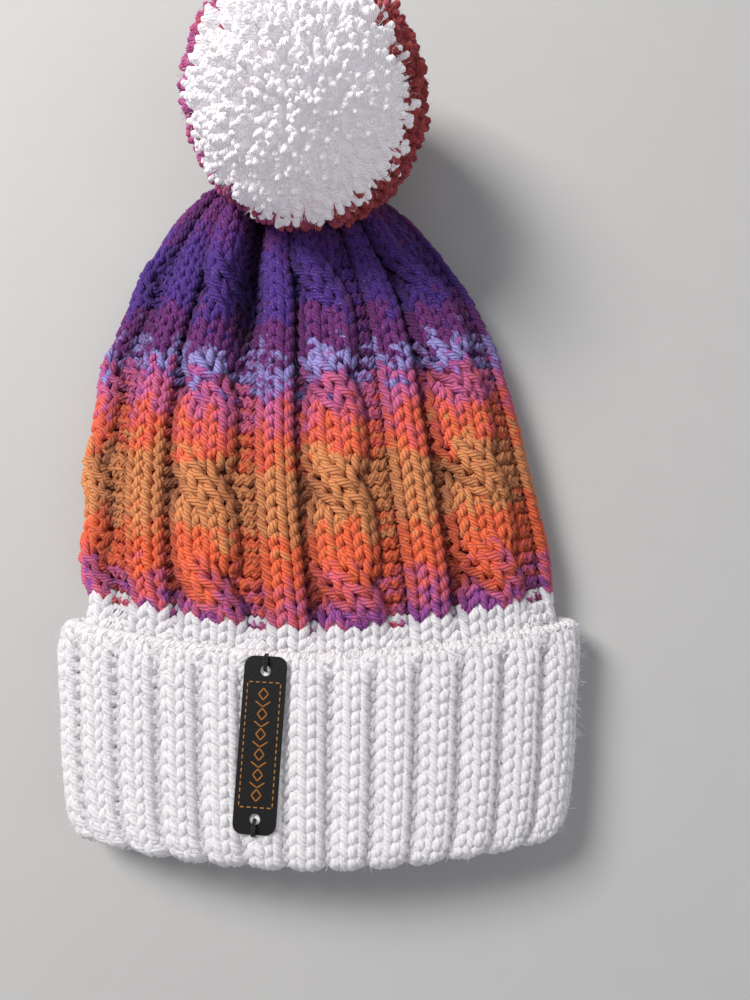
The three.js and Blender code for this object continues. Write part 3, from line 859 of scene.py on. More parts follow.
def shader_group(name, inputs, outputs):
    """A node group with its sockets, its inputs by name and its outputs by name. inputs hold a
    name, a kind and a default, outputs a name and a kind."""
    group = bpy.data.node_groups.new(name, "ShaderNodeTree")
    sockets = group.interface
    for label, kind, value in inputs:
        made = sockets.new_socket(name=label, in_out="INPUT", socket_type="NodeSocket" + kind)
        made.default_value = value
    for label, kind in outputs:
        sockets.new_socket(name=label, in_out="OUTPUT", socket_type="NodeSocket" + kind)
    given = group.nodes.new("NodeGroupInput").outputs
    return group, given, group.nodes.new("NodeGroupOutput").inputs


def flecks_group(name):
    """A colour made lighter and darker by soft noise, and the noise as a height."""
    group, given, result = shader_group(
        name,
        [
            ("Colour", "Color", (0.5, 0.5, 0.5, 1.0)),
            ("Scale", "Float", 260.0),
            ("Amount", "Float", 0.2),
        ],
        [("Colour", "Color"), ("Height", "Float")],
    )
    noise = object_noise(group, given["Scale"])
    spread = math_node(group, "MULTIPLY", math_node(group, "SUBTRACT", noise, 0.5), given["Amount"])
    value = group.nodes.new("ShaderNodeHueSaturation")
    connect(group, value.inputs["Value"], math_node(group, "MULTIPLY_ADD", spread, 2.0, 1.0))
    connect(group, value.inputs["Color"], given["Colour"])
    connect(group, result["Colour"], value.outputs["Color"])
    connect(group, result["Height"], noise)
    return group


def yarn_surface_group(name):
    """Plies twisted along the yarn's own UV with fine fibres over them, as a height, and a colour
    with painted shade between the plies, pale fibre flecks that are partly painted sheen, and, by a
    mesh attribute, painted shade down in the knitting's grooves."""
    group, given, result = shader_group(
        name,
        [
            ("Colour", "Color", (0.5, 0.5, 0.5, 1.0)),
            ("Plies", "Float", 5.0),
            ("Ply Shade", "Float", 0.76),
            ("Pale Fibres", "Float", 0.1),
            ("Fibre Scale", "Float", 900.0),
            ("Fibre Height", "Float", 0.35),
        ],
        [("Colour", "Color"), ("Height", "Float")],
    )
    uv = group.nodes.new("ShaderNodeUVMap")
    uv.uv_map = "Yarn"
    split = group.nodes.new("ShaderNodeSeparateXYZ")
    connect(group, split.inputs[0], uv.outputs["UV"])
    turned = math_node(group, "ADD", split.outputs["Y"], split.outputs["X"])
    turned = math_node(group, "MULTIPLY", turned, given["Plies"])
    wave = math_node(group, "SINE", math_node(group, "MULTIPLY", turned, float(np.pi)))
    ply = math_node(group, "POWER", math_node(group, "ABSOLUTE", wave), 0.6)
    fibre = object_noise(group, given["Fibre Scale"], 4.0, 0.7)
    height = math_node(group, "MULTIPLY_ADD", fibre, given["Fibre Height"], ply)
    connect(group, result["Height"], height)
    # Painted shade between the plies.
    between = mix_colours(group, 1.0, given["Colour"], given["Ply Shade"], "MULTIPLY")
    colour = mix_colours(group, ply, between, given["Colour"])
    # Pale fibre flecks: the yarn's lighter fibres, partly painted sheen.
    pale = smooth_range(group, object_noise(group, 1500.0), 0.50, 0.75)
    pale = math_node(group, "MULTIPLY", pale, given["Pale Fibres"])
    colour = mix_colours(group, pale, colour, PALE_FIBRE_SHEEN)
    # Painted shade down in the knitting's grooves, by the layouts' mesh attribute.
    deep = mix_colours(group, 1.0, colour, GROOVE_SHADE, "MULTIPLY")
    colour = mix_colours(group, attribute_value(group, "dim"), colour, deep)
    connect(group, result["Colour"], colour)
    return group


GROUP_MAKERS = {"Flecks": flecks_group, "YarnSurface": yarn_surface_group}


def placed_group(tree, name, **values):
    """The outputs of a node group, built on first use, with its own values in this material."""
    node = tree.nodes.new("ShaderNodeGroup")
    node.node_tree = bpy.data.node_groups.get(name) or GROUP_MAKERS[name](name)
    for label, value in values.items():
        connect(tree, node.inputs[label.replace("_", " ")], value)
    return node.outputs


def new_material(name, roughness, sheen=0.0, sheen_tint=WHITE, specular=0.3):
    """A material, its nodes and its Principled BSDF."""
    made = bpy.data.materials.new(name)
    made.use_nodes = True
    principled = made.node_tree.nodes["Principled BSDF"]
    principled.inputs["Roughness"].default_value = roughness
    principled.inputs["Sheen Weight"].default_value = sheen
    principled.inputs["Sheen Roughness"].default_value = 0.4
    principled.inputs["Sheen Tint"].default_value = sheen_tint
    principled.inputs["Specular IOR Level"].default_value = specular
    return made, made.node_tree, principled


def raise_surface(tree, principled, height, strength, distance):
    """Bumps a material by a height socket."""
    bump = tree.nodes.new("ShaderNodeBump")
    bump.inputs["Strength"].default_value = strength
    bump.inputs["Distance"].default_value = distance
    tree.links.new(height, bump.inputs["Height"])
    tree.links.new(bump.outputs["Normal"], principled.inputs["Normal"])


def flecked(tree, colour, scale=260.0, amount=0.22):
    """A colour through the flecks group."""
    return placed_group(tree, "Flecks", Colour=colour, Scale=scale, Amount=amount)["Colour"]


def banded_colour(tree):
    """Colour by the band attribute, blurred and mottled along the yarn."""
    wide = math_node(tree, "MULTIPLY_ADD", object_noise(tree, 130.0), 0.27, -0.135)
    fine = math_node(tree, "MULTIPLY_ADD", object_noise(tree, 300.0), 0.06, -0.03)
    shift = math_node(tree, "ADD", wide, fine)
    mixed = math_node(tree, "ADD", attribute_value(tree, "band"), shift)
    return flecked(tree, ramp_node(tree, mixed, BAND_STOPS))


def yarn_material(name, colour_of, relief, sheen, sheen_tint, painted_glow=0.0, **surface):
    """Wool yarn: colour_of(tree) gives its colour, the yarn surface group its plies and grooves.
    The number after sheen_tint is the strength of a painted glow, emission in the yarn's own
    colour, which keeps white wool bright in its own shade."""
    made, tree, principled = new_material(name, 0.9, sheen, sheen_tint)
    wool = placed_group(tree, "YarnSurface", Colour=colour_of(tree), **surface)
    tree.links.new(wool["Colour"], principled.inputs["Base Color"])
    # Painted glow: emission in the yarn's own colour lifts the wool out of its shade.
    if painted_glow:
        tree.links.new(wool["Colour"], principled.inputs["Emission Color"])
        principled.inputs["Emission Strength"].default_value = painted_glow
    raise_surface(tree, principled, wool["Height"], 0.85, relief)
    return made


def make_banded_yarn(name):
    """Self-striping yarn."""
    return yarn_material(name, banded_colour, 0.0005, 0.14, (0.62, 0.34, 0.50, 1.0))


def make_white(setting, painted_glow, **surface):
    """A maker of white yarn in a colour setting, its fibres almost hiding its plies."""

    def colour(tree):
        """The setting's colour, faintly flecked."""
        return flecked(tree, chosen(setting), amount=0.05)

    def maker(name):
        """The material of that name."""
        return yarn_material(
            name, colour, 0.0003, 0.2, WHITE, painted_glow, Pale_Fibres=0.0, **surface
        )

    return maker


def make_pompom_yarn(name):
    """Coloured cut yarn, by the tint attribute of each strand."""

    def colour(tree):
        """The ramp's colour, flecked."""
        return flecked(tree, ramp_node(tree, attribute_value(tree, "tint"), POMPOM_STOPS))

    return yarn_material(name, colour, 0.0003, 0.2, (0.72, 0.32, 0.42, 1.0), Ply_Shade=0.78)


def make_backing(name):
    """Shade under the stitches of the crown."""
    made, tree, principled = new_material(name, 1.0, specular=0.0)
    colour = mix_colours(tree, 1.0, banded_colour(tree), BACKING_SHADE, "MULTIPLY")
    tree.links.new(colour, principled.inputs["Base Color"])
    return made


def make_leather(name):
    """Black leather: fine pebbled grain, a few soft scuffs."""
    made, tree, principled = new_material(name, 0.5, specular=0.25)
    place = tree.nodes.new("ShaderNodeTexCoord")
    grain = tree.nodes.new("ShaderNodeTexVoronoi")
    grain.inputs["Scale"].default_value = 1700.0
    tree.links.new(place.outputs["Object"], grain.inputs["Vector"])
    scuffed = mix_colours(tree, object_noise(tree, 160.0), chosen("leather"), SCUFFED_LEATHER)
    tree.links.new(scuffed, principled.inputs["Base Color"])
    raise_surface(tree, principled, grain.outputs["Distance"], 0.5, 0.0002)
    return made


def make_grained(roughness, specular, scale, amount, depth):
    """A maker of a material in the colour setting of its own name, flecked and slightly rough."""

    def maker(name):
        """The material of that name."""
        made, tree, principled = new_material(name, roughness, specular=specular)
        flecks = placed_group(tree, "Flecks", Colour=chosen(name), Scale=scale, Amount=amount)
        tree.links.new(flecks["Colour"], principled.inputs["Base Color"])
        raise_surface(tree, principled, flecks["Height"], 0.6, depth)
        return made

    return maker


MATERIAL_MAKERS = {
    "banded_yarn": make_banded_yarn,
    # The number after each white setting is the strength of its painted glow.
    "white_yarn": make_white("white_wool", 0.15, Ply_Shade=0.97, Fibre_Height=1.6),
    "white_tufts": make_white("white_tufts", 0.17, Ply_Shade=0.90, Fibre_Height=0.8),
    "pompom_yarn": make_pompom_yarn,
    "crown_backing": make_backing,
    "white_backing": make_grained(1.0, 0.0, 300.0, 0.08, 0.0002),
    "leather": make_leather,
    "gold_print": make_grained(0.6, 0.3, 1500.0, 0.25, 0.00005),
    "border_thread": make_grained(0.75, 0.3, 2500.0, 0.25, 0.0001),
    "black_thread": make_grained(0.8, 0.3, 2500.0, 0.3, 0.0001),
    "floor": make_grained(0.85, 0.2, 60.0, 0.02, 0.0001),
}


# Operators


def setup(context):
    """The hat's form and yarn settings of the scene."""
    scene = context.scene
    return HatForm(scene.hat_sizes, scene.hat_yarn), scene.hat_yarn


def seeded(yarn, own):
    """Random numbers of one piece or pair of pieces."""
    return np.random.default_rng(yarn.seed + own)


class HAT_OT_crown(bpy.types.Operator):
    """Knit the banded crown with its cables, and the white band under it"""

    bl_idname = "hat.crown"
    bl_label = "Knit the crown"

    white_rows = 5
    left_at_gather = 6.0
    band_fullness = 1.08
    fluff_share = 0.22
    fluff_reach = 4.5
    fluff_root = -1.4

    def execute(self, context):
        form, yarn = setup(context)
        last = int((form.gather - self.left_at_gather - form.band_edge) / form.pitch)
        half = last // 2
        lower, upper = np.arange(0, half), np.arange(half, last)
        self.knit("crown_stitches_lower", form, yarn, lower, 1)
        self.knit("crown_stitches_upper", form, yarn, upper, 2)
        rows, rng = np.arange(-self.white_rows, 0), seeded(yarn, 7)
        piece = knitted_fabric(
            "band_stitches", form, yarn, "crown", rows, rng, "white_yarn", self.band_fullness
        )
        finish_piece(piece, "white_rib_knit")
        self.backing(form)

        def tone(around, v):
            """The colour's place at a row."""
            return v * form.pitch / form.crown_length

        count = int(yarn.fluff_count * self.fluff_share)
        piece = fluff(
            "crown_fluff", form.crown, (0, last - 4), count, seeded(yarn, 3), "banded_yarn",
            self.fluff_reach, self.fluff_root, band=tone,
        )
        finish_piece(piece, "banded_cable_knit")
        return {"FINISHED"}

    @staticmethod
    def knit(name, form, yarn, rows, seed):
        """Knits some of the coloured rows."""
        rng = seeded(yarn, seed)
        piece = knitted_fabric(name, form, yarn, "crown", rows, rng, "banded_yarn")
        finish_piece(piece, "banded_cable_knit")

    @staticmethod
    def backing(form):
        """The wall under the stitches: up to the gather, shut there, and down again inside. Its
        colours sit a little higher than the yarn's."""
        start = form.band_edge + 0.3
        outer, inner = 50, 20
        closed, raised = -40.0, 0.05
        t = np.concatenate(
            [
                np.linspace(start, form.gather, outer),
                np.linspace(form.gather - 6.5, start, inner),
            ]
        )
        out = np.concatenate([np.full(outer, CROWN_BACKING_OUT), np.full(inner, -form.crown_wall)])
        out[outer - 1] = out[outer] = closed
        piece = shell("crown_backing", t, out, form.creased, "crown_backing")
        at = np.zeros(3 * len(piece.data.vertices), np.float32)
        piece.data.vertices.foreach_get("co", at)
        band = (at[1::3] / MM - form.band_edge) / form.crown_length
        attribute = piece.data.attributes.new("band", "FLOAT", "POINT")
        attribute.data.foreach_set("value", np.clip(band + raised, 0, 1).astype(np.float32))
        finish_piece(piece, "banded_cable_knit", "crown")


class HAT_OT_brim(bpy.types.Operator):
    """Knit the folded white brim"""

    bl_idname = "hat.brim"
    bl_label = "Knit the brim"

    rows_outside = 19
    rows_in_all = 24
    fullness = 1.18
    fluff_share = 0.78
    fluff_rows = (-0.5, 17.5)
    fluff_reach = 4.8

    def execute(self, context):
        form, yarn = setup(context)
        rng = seeded(yarn, 4)
        for name, start, end in (
            ("brim_stitches", 0, self.rows_outside),
            ("brim_stitches_inside", self.rows_outside, self.rows_in_all),
        ):
            rows = np.arange(start, end)
            piece = knitted_fabric(
                name, form, yarn, "brim", rows, rng, "white_yarn", self.fullness
            )
            finish_piece(piece, "white_rib_knit")
        self.cast_on_rope(form, yarn)
        self.backing(form)
        count = int(yarn.fluff_count * self.fluff_share)
        piece = fluff(
            "brim_fluff", form.brim, self.fluff_rows, count, seeded(yarn, 5), "white_yarn",
            self.fluff_reach,
        )
        finish_piece(piece, "white_rib_knit")
        return {"FINISHED"}

    @staticmethod
    def cast_on_rope(form, yarn):
        """The cast-on edge: two strands twisted round each other, each a helix along the edge at
        v = a + b cos(turn) and w = c + d sin(turn), half a turn apart."""
        turns, steps = 84, 8
        around = np.arange(steps * turns) / (steps * turns)
        turn = 2 * np.pi * (turns * around + np.array([[0.0], [0.5]]))
        around = around + 0.0 * turn
        v = 1.40 + 0.27 * np.cos(turn)
        w = -1.3 + 1.15 * np.sin(turn)
        centre = form.brim(around, v, w)
        outward = unit(form.brim(around, v, w + 0.5) - centre)
        radius = 0.82 * form.yarn_radius
        points, faces, uv = closed_tubes(
            centre, np.full(turn.shape, radius), outward, yarn.yarn_sides, radius * TWIST_LENGTH
        )
        piece = mesh_piece("brim_cast_on_edge", points, faces, uv, looks="white_yarn")
        finish_piece(piece, "white_rib_knit")

    @staticmethod
    def backing(form):
        """The wall under the stitches: down inside, round the fold, up the outer layer, over its
        edge, down between the layers and up to the band."""
        edge = 1.2
        low = edge + 0.9
        overlap = 4.0
        fold = (2 * form.brim_layer + form.layer_gap) / 2
        start = fold - form.fold_below
        end = form.cast_on - edge - low
        angle = np.linspace(0, np.pi, 17)[1:-1]
        t = np.concatenate(
            [
                np.linspace(form.band_edge, start, 24),
                start - (fold - low) * np.sin(angle),
                np.linspace(start, end, 24),
                np.linspace(end, start + overlap, 12),
                np.linspace(start + overlap, form.band_edge, 16),
            ]
        )
        out = np.concatenate(
            [
                np.full(24, -form.brim_layer + low),
                form.brim_out - fold - (fold - low) * np.cos(angle),
                np.full(24, form.brim_out - low),
                np.full(12, form.layer_gap + 0.4),
                np.full(16, -0.4 - low),
            ]
        )
        piece = shell("brim_backing", t, out, form.flared, "white_backing")
        finish_piece(piece, "white_rib_knit", "folded_brim")


class HAT_OT_pompom(bpy.types.Operator):
    """Make the pompom's cut strands, white in front and coloured behind"""

    bl_idname = "hat.pompom"
    bl_label = "Make the pompom"

    # White shows from the front's middle out to this cosine of the angle from it.
    white_edge = 0.44
    tilt = np.radians(35.0)
    lean_left = -0.06
    # The middle: across from the origin, past the gather, and over one radius off the floor.
    across, past, sunk = -5.0, 8.0, -1.0
    core_share = 0.85
    fibres = 2400
    fibre_reach = 4.0

    def execute(self, context):
        form, yarn = setup(context)
        rng = seeded(yarn, 6)
        self.radius = form.pompom_radius
        self.centre = np.array([self.across, form.gather + self.past, self.radius + self.sunk])
        self.axis = unit(np.array([self.lean_left, -np.sin(self.tilt), np.cos(self.tilt)]))
        self.side = unit(np.cross(self.axis, [1.0, 0.0, 0.0]))
        self.other = np.cross(self.axis, self.side)
        split = np.arccos(self.white_edge)
        white = ("white_tufts", "white_pompom_yarn")
        coloured = ("pompom_yarn", "coloured_pompom_yarn")
        lines = self.strand_lines(form, yarn.strand_count, rng)
        self.core("pompom_white_core", (0.0, split), *white)
        self.core("pompom_coloured_core", (split, np.pi), *coloured)
        self.strands("pompom_white_strands", lines, True, *white, "pompom_white_half")
        self.strands("pompom_coloured_strands", lines, False, *coloured, "pompom_coloured_half")
        self.fibre_coat("pompom_white_fluff", (0.47, 1.0), rng, *white)
        self.fibre_coat("pompom_coloured_fluff", (-1.0, 0.4), rng, *coloured, tint=self.tint_at)
        return {"FINISHED"}

    def tint(self, points, radius):
        """The place in the pompom's colours, from left to right."""
        return np.clip(0.5 + 0.42 * (points[..., 0] - self.centre[0]) / radius, 0, 1)

    def ball(self, around, v, w):
        """Points on the ball: around its axis, v from -1 to 1 along it, w millimetres out."""
        turn = 2 * np.pi * around
        across = np.sqrt(np.maximum(1.0 - v * v, 0.0))[:, None]
        way = across * (np.cos(turn)[:, None] * self.side + np.sin(turn)[:, None] * self.other)
        return self.centre + (way + v[:, None] * self.axis) * (self.radius - 1.0 + w)[:, None]

    def tint_at(self, around, v):
        """The tint of a place on the ball."""
        return self.tint(self.ball(around, v, 0.0 * v), self.radius)

    def fibre_coat(self, name, span, rng, looks, slot, **tones):
        """Fine fibres over one half."""
        piece = fluff(name, self.ball, span, self.fibres, rng, looks, self.fibre_reach, **tones)
        finish_piece(piece, slot)

    def strand_lines(self, form, count, rng):
        """All strands: centre lines, radii, sideways bends, tints, and which are white and kept.
        Their ways are spread evenly over a ball by the golden angle. A line is
        centre + q*reach*way + q*q*bend, raised and lowered by a low wave over the ball."""
        k = np.arange(count) + 0.5
        z = 1.0 - 2.0 * k / count
        ring = np.sqrt(1.0 - z * z)
        turn = np.pi * (3.0 - np.sqrt(5.0)) * k
        way = np.stack([ring * np.cos(turn), ring * np.sin(turn), z], -1)
        way = unit(way + rng.normal(0.0, 0.035, way.shape))
        reach = self.radius * (1.0 + rng.normal(-0.015, 0.022, count))
        q = np.array([0.5, 0.56, 0.93, 0.985, 1.0])
        bend = np.cross(way, rng.normal(0.0, 1.0, way.shape)) * 2.6
        line = self.centre + way[:, None, :] * (reach[:, None] * q)[..., None]
        line = line + bend[:, None, :] * (q * q)[None, :, None]
        lump = np.sin(way @ np.array([7.0, 3.0, 2.0]))
        lump = lump * np.sin(way @ np.array([-2.0, 6.0, 5.0]) + 1.0)
        line = line + (way * lump[:, None] * 0.5)[:, None, :] * q[None, :, None]
        thick = rng.uniform(1.2, 1.6, count)
        thickness = thick[:, None] * np.array([0.0, 0.7, 1.1, 0.86, 0.0])
        line, kept = self.clear_of_crown(form, line, thick)
        line[..., 2] = np.maximum(line[..., 2], thick[:, None])
        front = way @ self.axis * self.radius + rng.normal(0.0, 2.2, count)
        white = front > self.white_edge * self.radius
        tint = 0.5 + 0.42 * way[:, 0] + rng.normal(0.0, 0.14, count)
        return line, thickness, bend, np.clip(tint, 0, 1), white, kept

    def strands(self, name, all_lines, of_white, looks, slot, node):
        """The cut strands of one half."""
        line, thickness, bend, tint, white, kept = all_lines
        own = (white == of_white) & kept
        lines = line[own]
        outward = np.broadcast_to(unit(bend[own])[:, None, :], lines.shape)
        points, faces, uv = capped_tubes(lines, thickness[own], outward, 5, 7.0)
        values = {"tint": tint[own][:, None].repeat(points.shape[1], 1)}
        finish_piece(mesh_piece(name, points, faces, uv, values, looks), slot, node)

    def core(self, name, span, looks, slot):
        """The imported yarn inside: part of a ball round the axis, closed through its middle, with
        angles from the axis in span and small bumps sin 9a sin 11b."""
        radius = self.radius * self.core_share
        a = np.linspace(span[0], span[1], 24)[None, :]
        b = np.linspace(0.0, 2 * np.pi, 48, endpoint=False)[:, None]
        size = radius * (1.0 + 0.012 * np.sin(9 * a) * np.sin(11 * b))
        ball = self.centre + size[..., None] * (
            np.cos(a)[..., None] * self.axis
            + (np.sin(a) * np.cos(b))[..., None] * self.side
            + (np.sin(a) * np.sin(b))[..., None] * self.other
        )
        points = np.concatenate([ball, np.broadcast_to(self.centre, (48, 1, 3))], axis=1)
        points[..., 2] = np.maximum(points[..., 2], 0.3)
        values = {"tint": self.tint(points, radius)}
        piece = mesh_piece(name, points, grid_faces(48, 25, True, True), values=values, looks=looks)
        close_seams(piece.data)
        finish_piece(piece, slot)

    @staticmethod
    def clear_of_crown(form, line, thick):
        """Bends strands over the crown's end, and finds those that would lie under it."""
        t = line[..., 1]
        half_width, half_height, mid_x, _, _ = form.body(t)
        across = np.clip(np.abs(line[..., 0] - mid_x) / np.maximum(half_width, 1.0), 0.0, 1.2)
        dome = np.maximum(1.0 - across**form.power, 0.0) ** (1 / form.power)
        inside = (across < 1.0) & (t < form.gather)
        top = form.mid_height + half_height * dome + thick[:, None] + 0.3
        low = line[..., 2] < top
        tip_under = inside[:, -2] & (line[:, -2, 2] < form.mid_height)
        line[..., 2] = np.where(inside & low, top, line[..., 2])
        return line, ~tip_under


class HAT_OT_label(bpy.types.Operator):
    """Make the leather label with its stitched border, print and threads"""

    bl_idname = "hat.label"
    bl_label = "Make the label"

    # In millimetres and degrees. stand_off is how far the underside lies off the ribs' outside.
    length = 60.0
    width = 15.0
    thickness = 1.2
    corner = 3.5
    bevel = 0.25
    hole_radius = 1.9
    hole_inset = 5.0
    stand_off = 0.9
    turn = -3.2
    roll = -1.4

    def execute(self, context):
        form, _ = setup(context)
        self.place = self.label_place(form)
        self.leather(context)
        self.border()
        self.motif()
        self.threads()
        return {"FINISHED"}

    def label_place(self, form):
        """Origin in the middle of the underside, and the axes across, along and off the brim."""
        half_width, half_height, _, _, _ = form.body(np.array(0.0))
        across = LABEL_X / (half_width + form.brim_out)
        dome = (1.0 - abs(across) ** form.power) ** (1 / form.power)
        z = form.mid_height - form.edge_droop * across**2 + (half_height + form.brim_out) * dome
        turn, roll = np.radians(self.turn), np.radians(self.roll)
        about_z = np.array(
            [[np.cos(turn), -np.sin(turn), 0], [np.sin(turn), np.cos(turn), 0], [0, 0, 1]]
        )
        about_y = np.array(
            [[np.cos(roll), 0, np.sin(roll)], [0, 1, 0], [-np.sin(roll), 0, np.cos(roll)]]
        )
        return np.array([LABEL_X, 0.0, z + self.stand_off]), about_z @ about_y

    def put(self, points):
        """Label points to the hat's frame."""
        origin, axes = self.place
        return origin + points @ axes.T

    def leather(self, context):
        """Rounded strip with two holes, its edges softened."""
        curve = bpy.data.curves.new("label_outline", "CURVE")
        curve.dimensions = "2D"
        curve.fill_mode = "BOTH"
        curve.extrude = (self.thickness / 2 - self.bevel) * MM
        curve.bevel_depth = self.bevel * MM
        curve.bevel_resolution = 2
        for loop in (self.outline(), self.hole(1), self.hole(-1)):
            spline = curve.splines.new("POLY")
            spline.points.add(len(loop) - 1)
            flat = np.zeros((len(loop), 4))
            flat[:, :2] = loop * MM
            flat[:, 3] = 1.0
            spline.points.foreach_set("co", flat.ravel())
            spline.use_cyclic_u = True
        holder = bpy.data.objects.new("label_outline", curve)
        context.scene.collection.objects.link(holder)
        context.view_layer.update()
        finished = holder.evaluated_get(context.evaluated_depsgraph_get())
        mesh = bpy.data.meshes.new_from_object(finished)
        bpy.data.objects.remove(holder)
        points = np.zeros(len(mesh.vertices) * 3)
        mesh.vertices.foreach_get("co", points)
        points = points.reshape(-1, 3) / MM + [0, 0, self.thickness / 2]
        mesh.vertices.foreach_set("co", (self.put(points) * MM).ravel())
        mesh.materials.clear()
        mesh.materials.append(material("leather"))
        close_seams(mesh, 0.01)
        piece = bpy.data.objects.new("label_leather", mesh)
        context.scene.collection.objects.link(piece)
        finish_piece(piece, "black_leather", "label")

    def outline(self):
        """The strip's rounded outline, less the bevel."""
        w, h, r = (size - self.bevel for size in (self.width / 2, self.length / 2, self.corner))
        parts = []
        for side, end, start in ((1, 1, 0), (-1, 1, 90), (-1, -1, 180), (1, -1, 270)):
            a = np.radians(np.linspace(start, start + 90, 9))
            across = side * (w - r) + r * np.cos(a)
            along = end * (h - r) + r * np.sin(a)
            parts.append(np.stack([across, along], -1))
        return np.concatenate(parts)

    def hole(self, end):
        """The outline of a hole, more the bevel."""
        a = np.linspace(0, 2 * np.pi, 24, endpoint=False)
        r = self.hole_radius + self.bevel
        y = end * (self.length / 2 - self.hole_inset)
        return np.stack([r * np.cos(-a), y + r * np.sin(-a)], -1)

    def rods(self, name, starts, ends, radius, looks, slot, rise=0.0, flat=0.6):
        """Short rounded rods from starts to ends, lying on the leather."""
        q = np.array([-0.06, 0.04, 0.2, 0.5, 0.8, 0.96, 1.06])
        size = np.array([0.05, 0.8, 1.0, 1.0, 1.0, 0.8, 0.05]) * radius
        flat_lines = starts[:, None, :] + (ends - starts)[:, None, :] * q[None, :, None]
        height = self.thickness + rise + 0.0 * q
        lines = np.concatenate(
            [flat_lines, np.broadcast_to(height[None, :, None], (*flat_lines.shape[:2], 1))], -1
        )
        outward = np.broadcast_to([0.0, 0.0, 1.0], lines.shape)
        radii = np.broadcast_to(size, lines.shape[:2])
        points, faces, uv = capped_tubes(lines, radii, outward, 8, 1.2, flat)
        piece = mesh_piece(name, self.put(points), faces, uv, looks=looks)
        return finish_piece(piece, slot)

    def border(self):
        """A stitched rectangle between the holes, dash by dash."""
        w, h = 5.8, 21.0
        dash, gap, radius = 1.3, 0.9, 0.22
        corners = np.array([(-w, -h), (w, -h), (w, h), (-w, h)])
        starts, ends = [], []
        for a, b in zip(corners, np.roll(corners, -1, axis=0)):
            length = np.linalg.norm(b - a)
            count = max(int(round(length / (dash + gap))), 1)
            step = (b - a) / count
            first = a + step * (np.arange(count)[:, None] + 0.5) - step * 0.5 * dash / (dash + gap)
            starts.append(first)
            ends.append(first + step * dash / (dash + gap))
        self.rods(
            "label_border", np.concatenate(starts), np.concatenate(ends), radius, "border_thread",
            "black_leather",
        )

    def motif(self):
        """A printed row of diamonds with pairs of slanting strokes between them."""
        starts, ends = [], []
        middles = np.linspace(-17.0, 17.0, 6)
        wide, high, radius = 1.7, 2.0, 0.26
        stroke_wide, stroke_high = 2.6, 0.9
        for y in middles:
            tips = np.array([(0.0, -high), (wide, 0.0), (0.0, high), (-wide, 0.0)]) + [0.0, y]
            starts.append(tips)
            ends.append(np.roll(tips, -1, axis=0))
        for y in middles[:-1] + (middles[1] - middles[0]) / 2:
            low, top = y - stroke_high, y + stroke_high
            starts.append(np.array([(0.0, low), (0.0, low)]))
            ends.append(np.array([(stroke_wide, top), (-stroke_wide, top)]))
        self.rods(
            "label_print", np.concatenate(starts), np.concatenate(ends), radius, "gold_print",
            "black_leather", rise=-0.01, flat=0.25,
        )

    def threads(self):
        """Two strands of thread at each end, from the hole over the end to the knitting."""
        for end, node in ((1, "label_thread_upper"), (-1, "label_thread_lower")):
            hole = self.length / 2 - self.hole_inset
            over = self.thickness + 0.55
            lines = []
            for shift in (-0.4, 0.4):
                keys = np.array(
                    [
                        (shift * 0.6, end * (hole - 0.3), -0.6),
                        (shift * 0.7, end * (hole + 0.6), over),
                        (shift, end * (hole + 3.0), over + 0.25),
                        (shift * 1.1, end * (hole + 4.9), over + 0.1),
                        (shift * 0.9, end * (hole + 5.5), 0.5),
                        (shift * 0.8, end * (hole + 5.6), -0.9),
                    ]
                )
                at = np.linspace(0, 5, 31)
                lines.append(np.stack([smooth_curve(at, keys[:, k]) for k in range(3)], -1))
            lines = np.array(lines)
            outward = np.broadcast_to([1.0, 0.0, 0.2], lines.shape)
            radii = np.full(lines.shape[:2], 0.38)
            radii[:, [0, -1]] = 0.03
            points, faces, uv = capped_tubes(lines, radii, outward, 8, 2.2)
            piece = mesh_piece(node + "_strands", self.put(points), faces, uv, looks="black_thread")
            finish_piece(piece, "black_thread", node)
            a = np.linspace(0, 2 * np.pi, 60, endpoint=False)
            knot = [np.sin(a) + 2 * np.sin(2 * a), np.cos(a) - 2 * np.cos(2 * a), -np.sin(3 * a)]
            knot = np.stack(knot, -1)
            knot = knot * [0.28, 0.28, 0.4] + [0.1, end * (hole + 2.8), over + 0.5]
            outward = unit(knot - knot.mean(axis=0) + [0.0, 0.0, 0.3])[None]
            points, faces, uv = closed_tubes(knot[None], np.full((1, 60), 0.34), outward, 6, 2.2)
            piece = mesh_piece(node + "_knot", self.put(points), faces, uv, looks="black_thread")
            finish_piece(piece, "black_thread")


def smooth_curve(at, keys):
    """Cubic Hermite interpolation of evenly spaced keys."""
    k = np.clip(np.floor(at).astype(int), 0, len(keys) - 2)
    q = at - k
    slope = np.gradient(keys)
    a, b = keys[k], keys[k + 1]
    return (
        (2 * q**3 - 3 * q**2 + 1) * a
        + (q**3 - 2 * q**2 + q) * slope[k]
        + (3 * q**2 - 2 * q**3) * b
        + (q**3 - q**2) * slope[k + 1]
    )


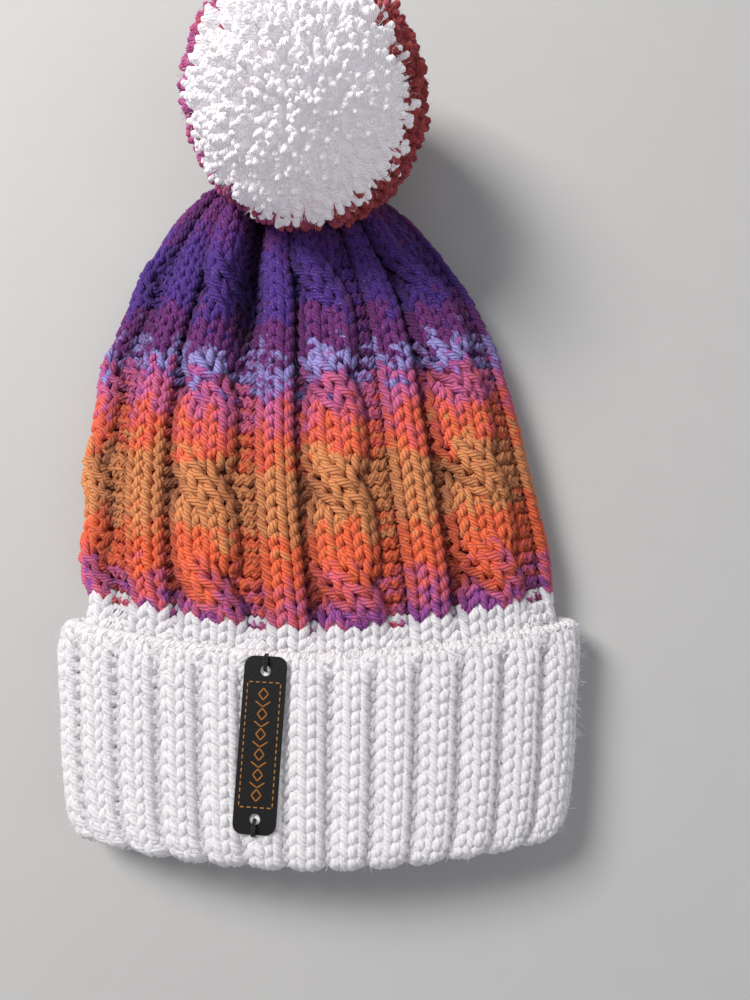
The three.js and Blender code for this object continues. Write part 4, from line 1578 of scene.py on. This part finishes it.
class HAT_OT_stage(bpy.types.Operator):
    """Set up the floor, the lights and the camera"""

    bl_idname = "hat.stage"
    bl_label = "Set up the stage"

    def execute(self, context):
        scene = context.scene
        bpy.ops.mesh.primitive_plane_add(size=FLOOR_SIZE, location=LIT_POINT)
        floor = context.active_object
        floor.name = "floor"
        floor.data.materials.append(material("floor"))
        for name, place, size, power, colour in LIGHTS:
            light = bpy.data.lights.new(name, "AREA")
            light.size = size
            light.energy = power
            light.color = colour
            holder = bpy.data.objects.new(name, light)
            scene.collection.objects.link(holder)
            holder.location = place
            way = Vector(LIT_POINT) - Vector(place)
            holder.rotation_euler = way.to_track_quat("-Z", "Y").to_euler()
        scene.world = bpy.data.worlds.new("room")
        scene.world.use_nodes = True
        background = scene.world.node_tree.nodes["Background"]
        background.inputs["Color"].default_value = ROOM_COLOUR
        background.inputs["Strength"].default_value = ROOM_STRENGTH
        scene.view_settings.view_transform = "Standard"
        camera_data = bpy.data.cameras.new("photo_view")
        camera_data.lens = CAMERA_LENS
        camera_data.clip_start = 0.01
        camera = bpy.data.objects.new("photo_view", camera_data)
        camera.location = CAMERA_PLACE
        camera.rotation_euler = (CAMERA_TILT, 0.0, 0.0)
        scene.collection.objects.link(camera)
        scene.camera = camera
        return {"FINISHED"}


class HAT_PT_panel(bpy.types.Panel):
    """Sizes and steps of the hat"""

    bl_idname = "HAT_PT_panel"
    bl_label = "Bobble hat"
    bl_space_type = "VIEW_3D"
    bl_region_type = "UI"
    bl_category = "Hat"

    def draw(self, context):
        for group in (context.scene.hat_sizes, context.scene.hat_yarn, context.scene.hat_colours):
            for name in group.__annotations__:
                self.layout.prop(group, name)
        for operator in STEPS:
            self.layout.operator(operator.bl_idname)


STEPS = (HAT_OT_crown, HAT_OT_brim, HAT_OT_pompom, HAT_OT_label, HAT_OT_stage)
CLASSES = (HatSizes, YarnSettings, HatColours, *STEPS, HAT_PT_panel)


def register():
    """Registers the add-on's classes and settings."""
    for cls in CLASSES:
        bpy.utils.register_class(cls)
    bpy.types.Scene.hat_sizes = PointerProperty(type=HatSizes)
    bpy.types.Scene.hat_yarn = PointerProperty(type=YarnSettings)
    bpy.types.Scene.hat_colours = PointerProperty(type=HatColours)


def unregister():
    """Takes the add-on's settings and classes away."""
    del bpy.types.Scene.hat_colours
    del bpy.types.Scene.hat_yarn
    del bpy.types.Scene.hat_sizes
    for cls in reversed(CLASSES):
        bpy.utils.unregister_class(cls)


def corners(bounds):
    """Two corners as plain lists."""
    return [[round(float(c), 6) for c in corner] for corner in bounds]


def main():
    """Builds the hat's looks."""
    register()
    bpy.ops.hat.crown()
    bpy.ops.hat.brim()
    bpy.ops.hat.pompom()
    bpy.ops.hat.label()
    bpy.ops.hat.stage()


if __name__ == "__main__":
    main()
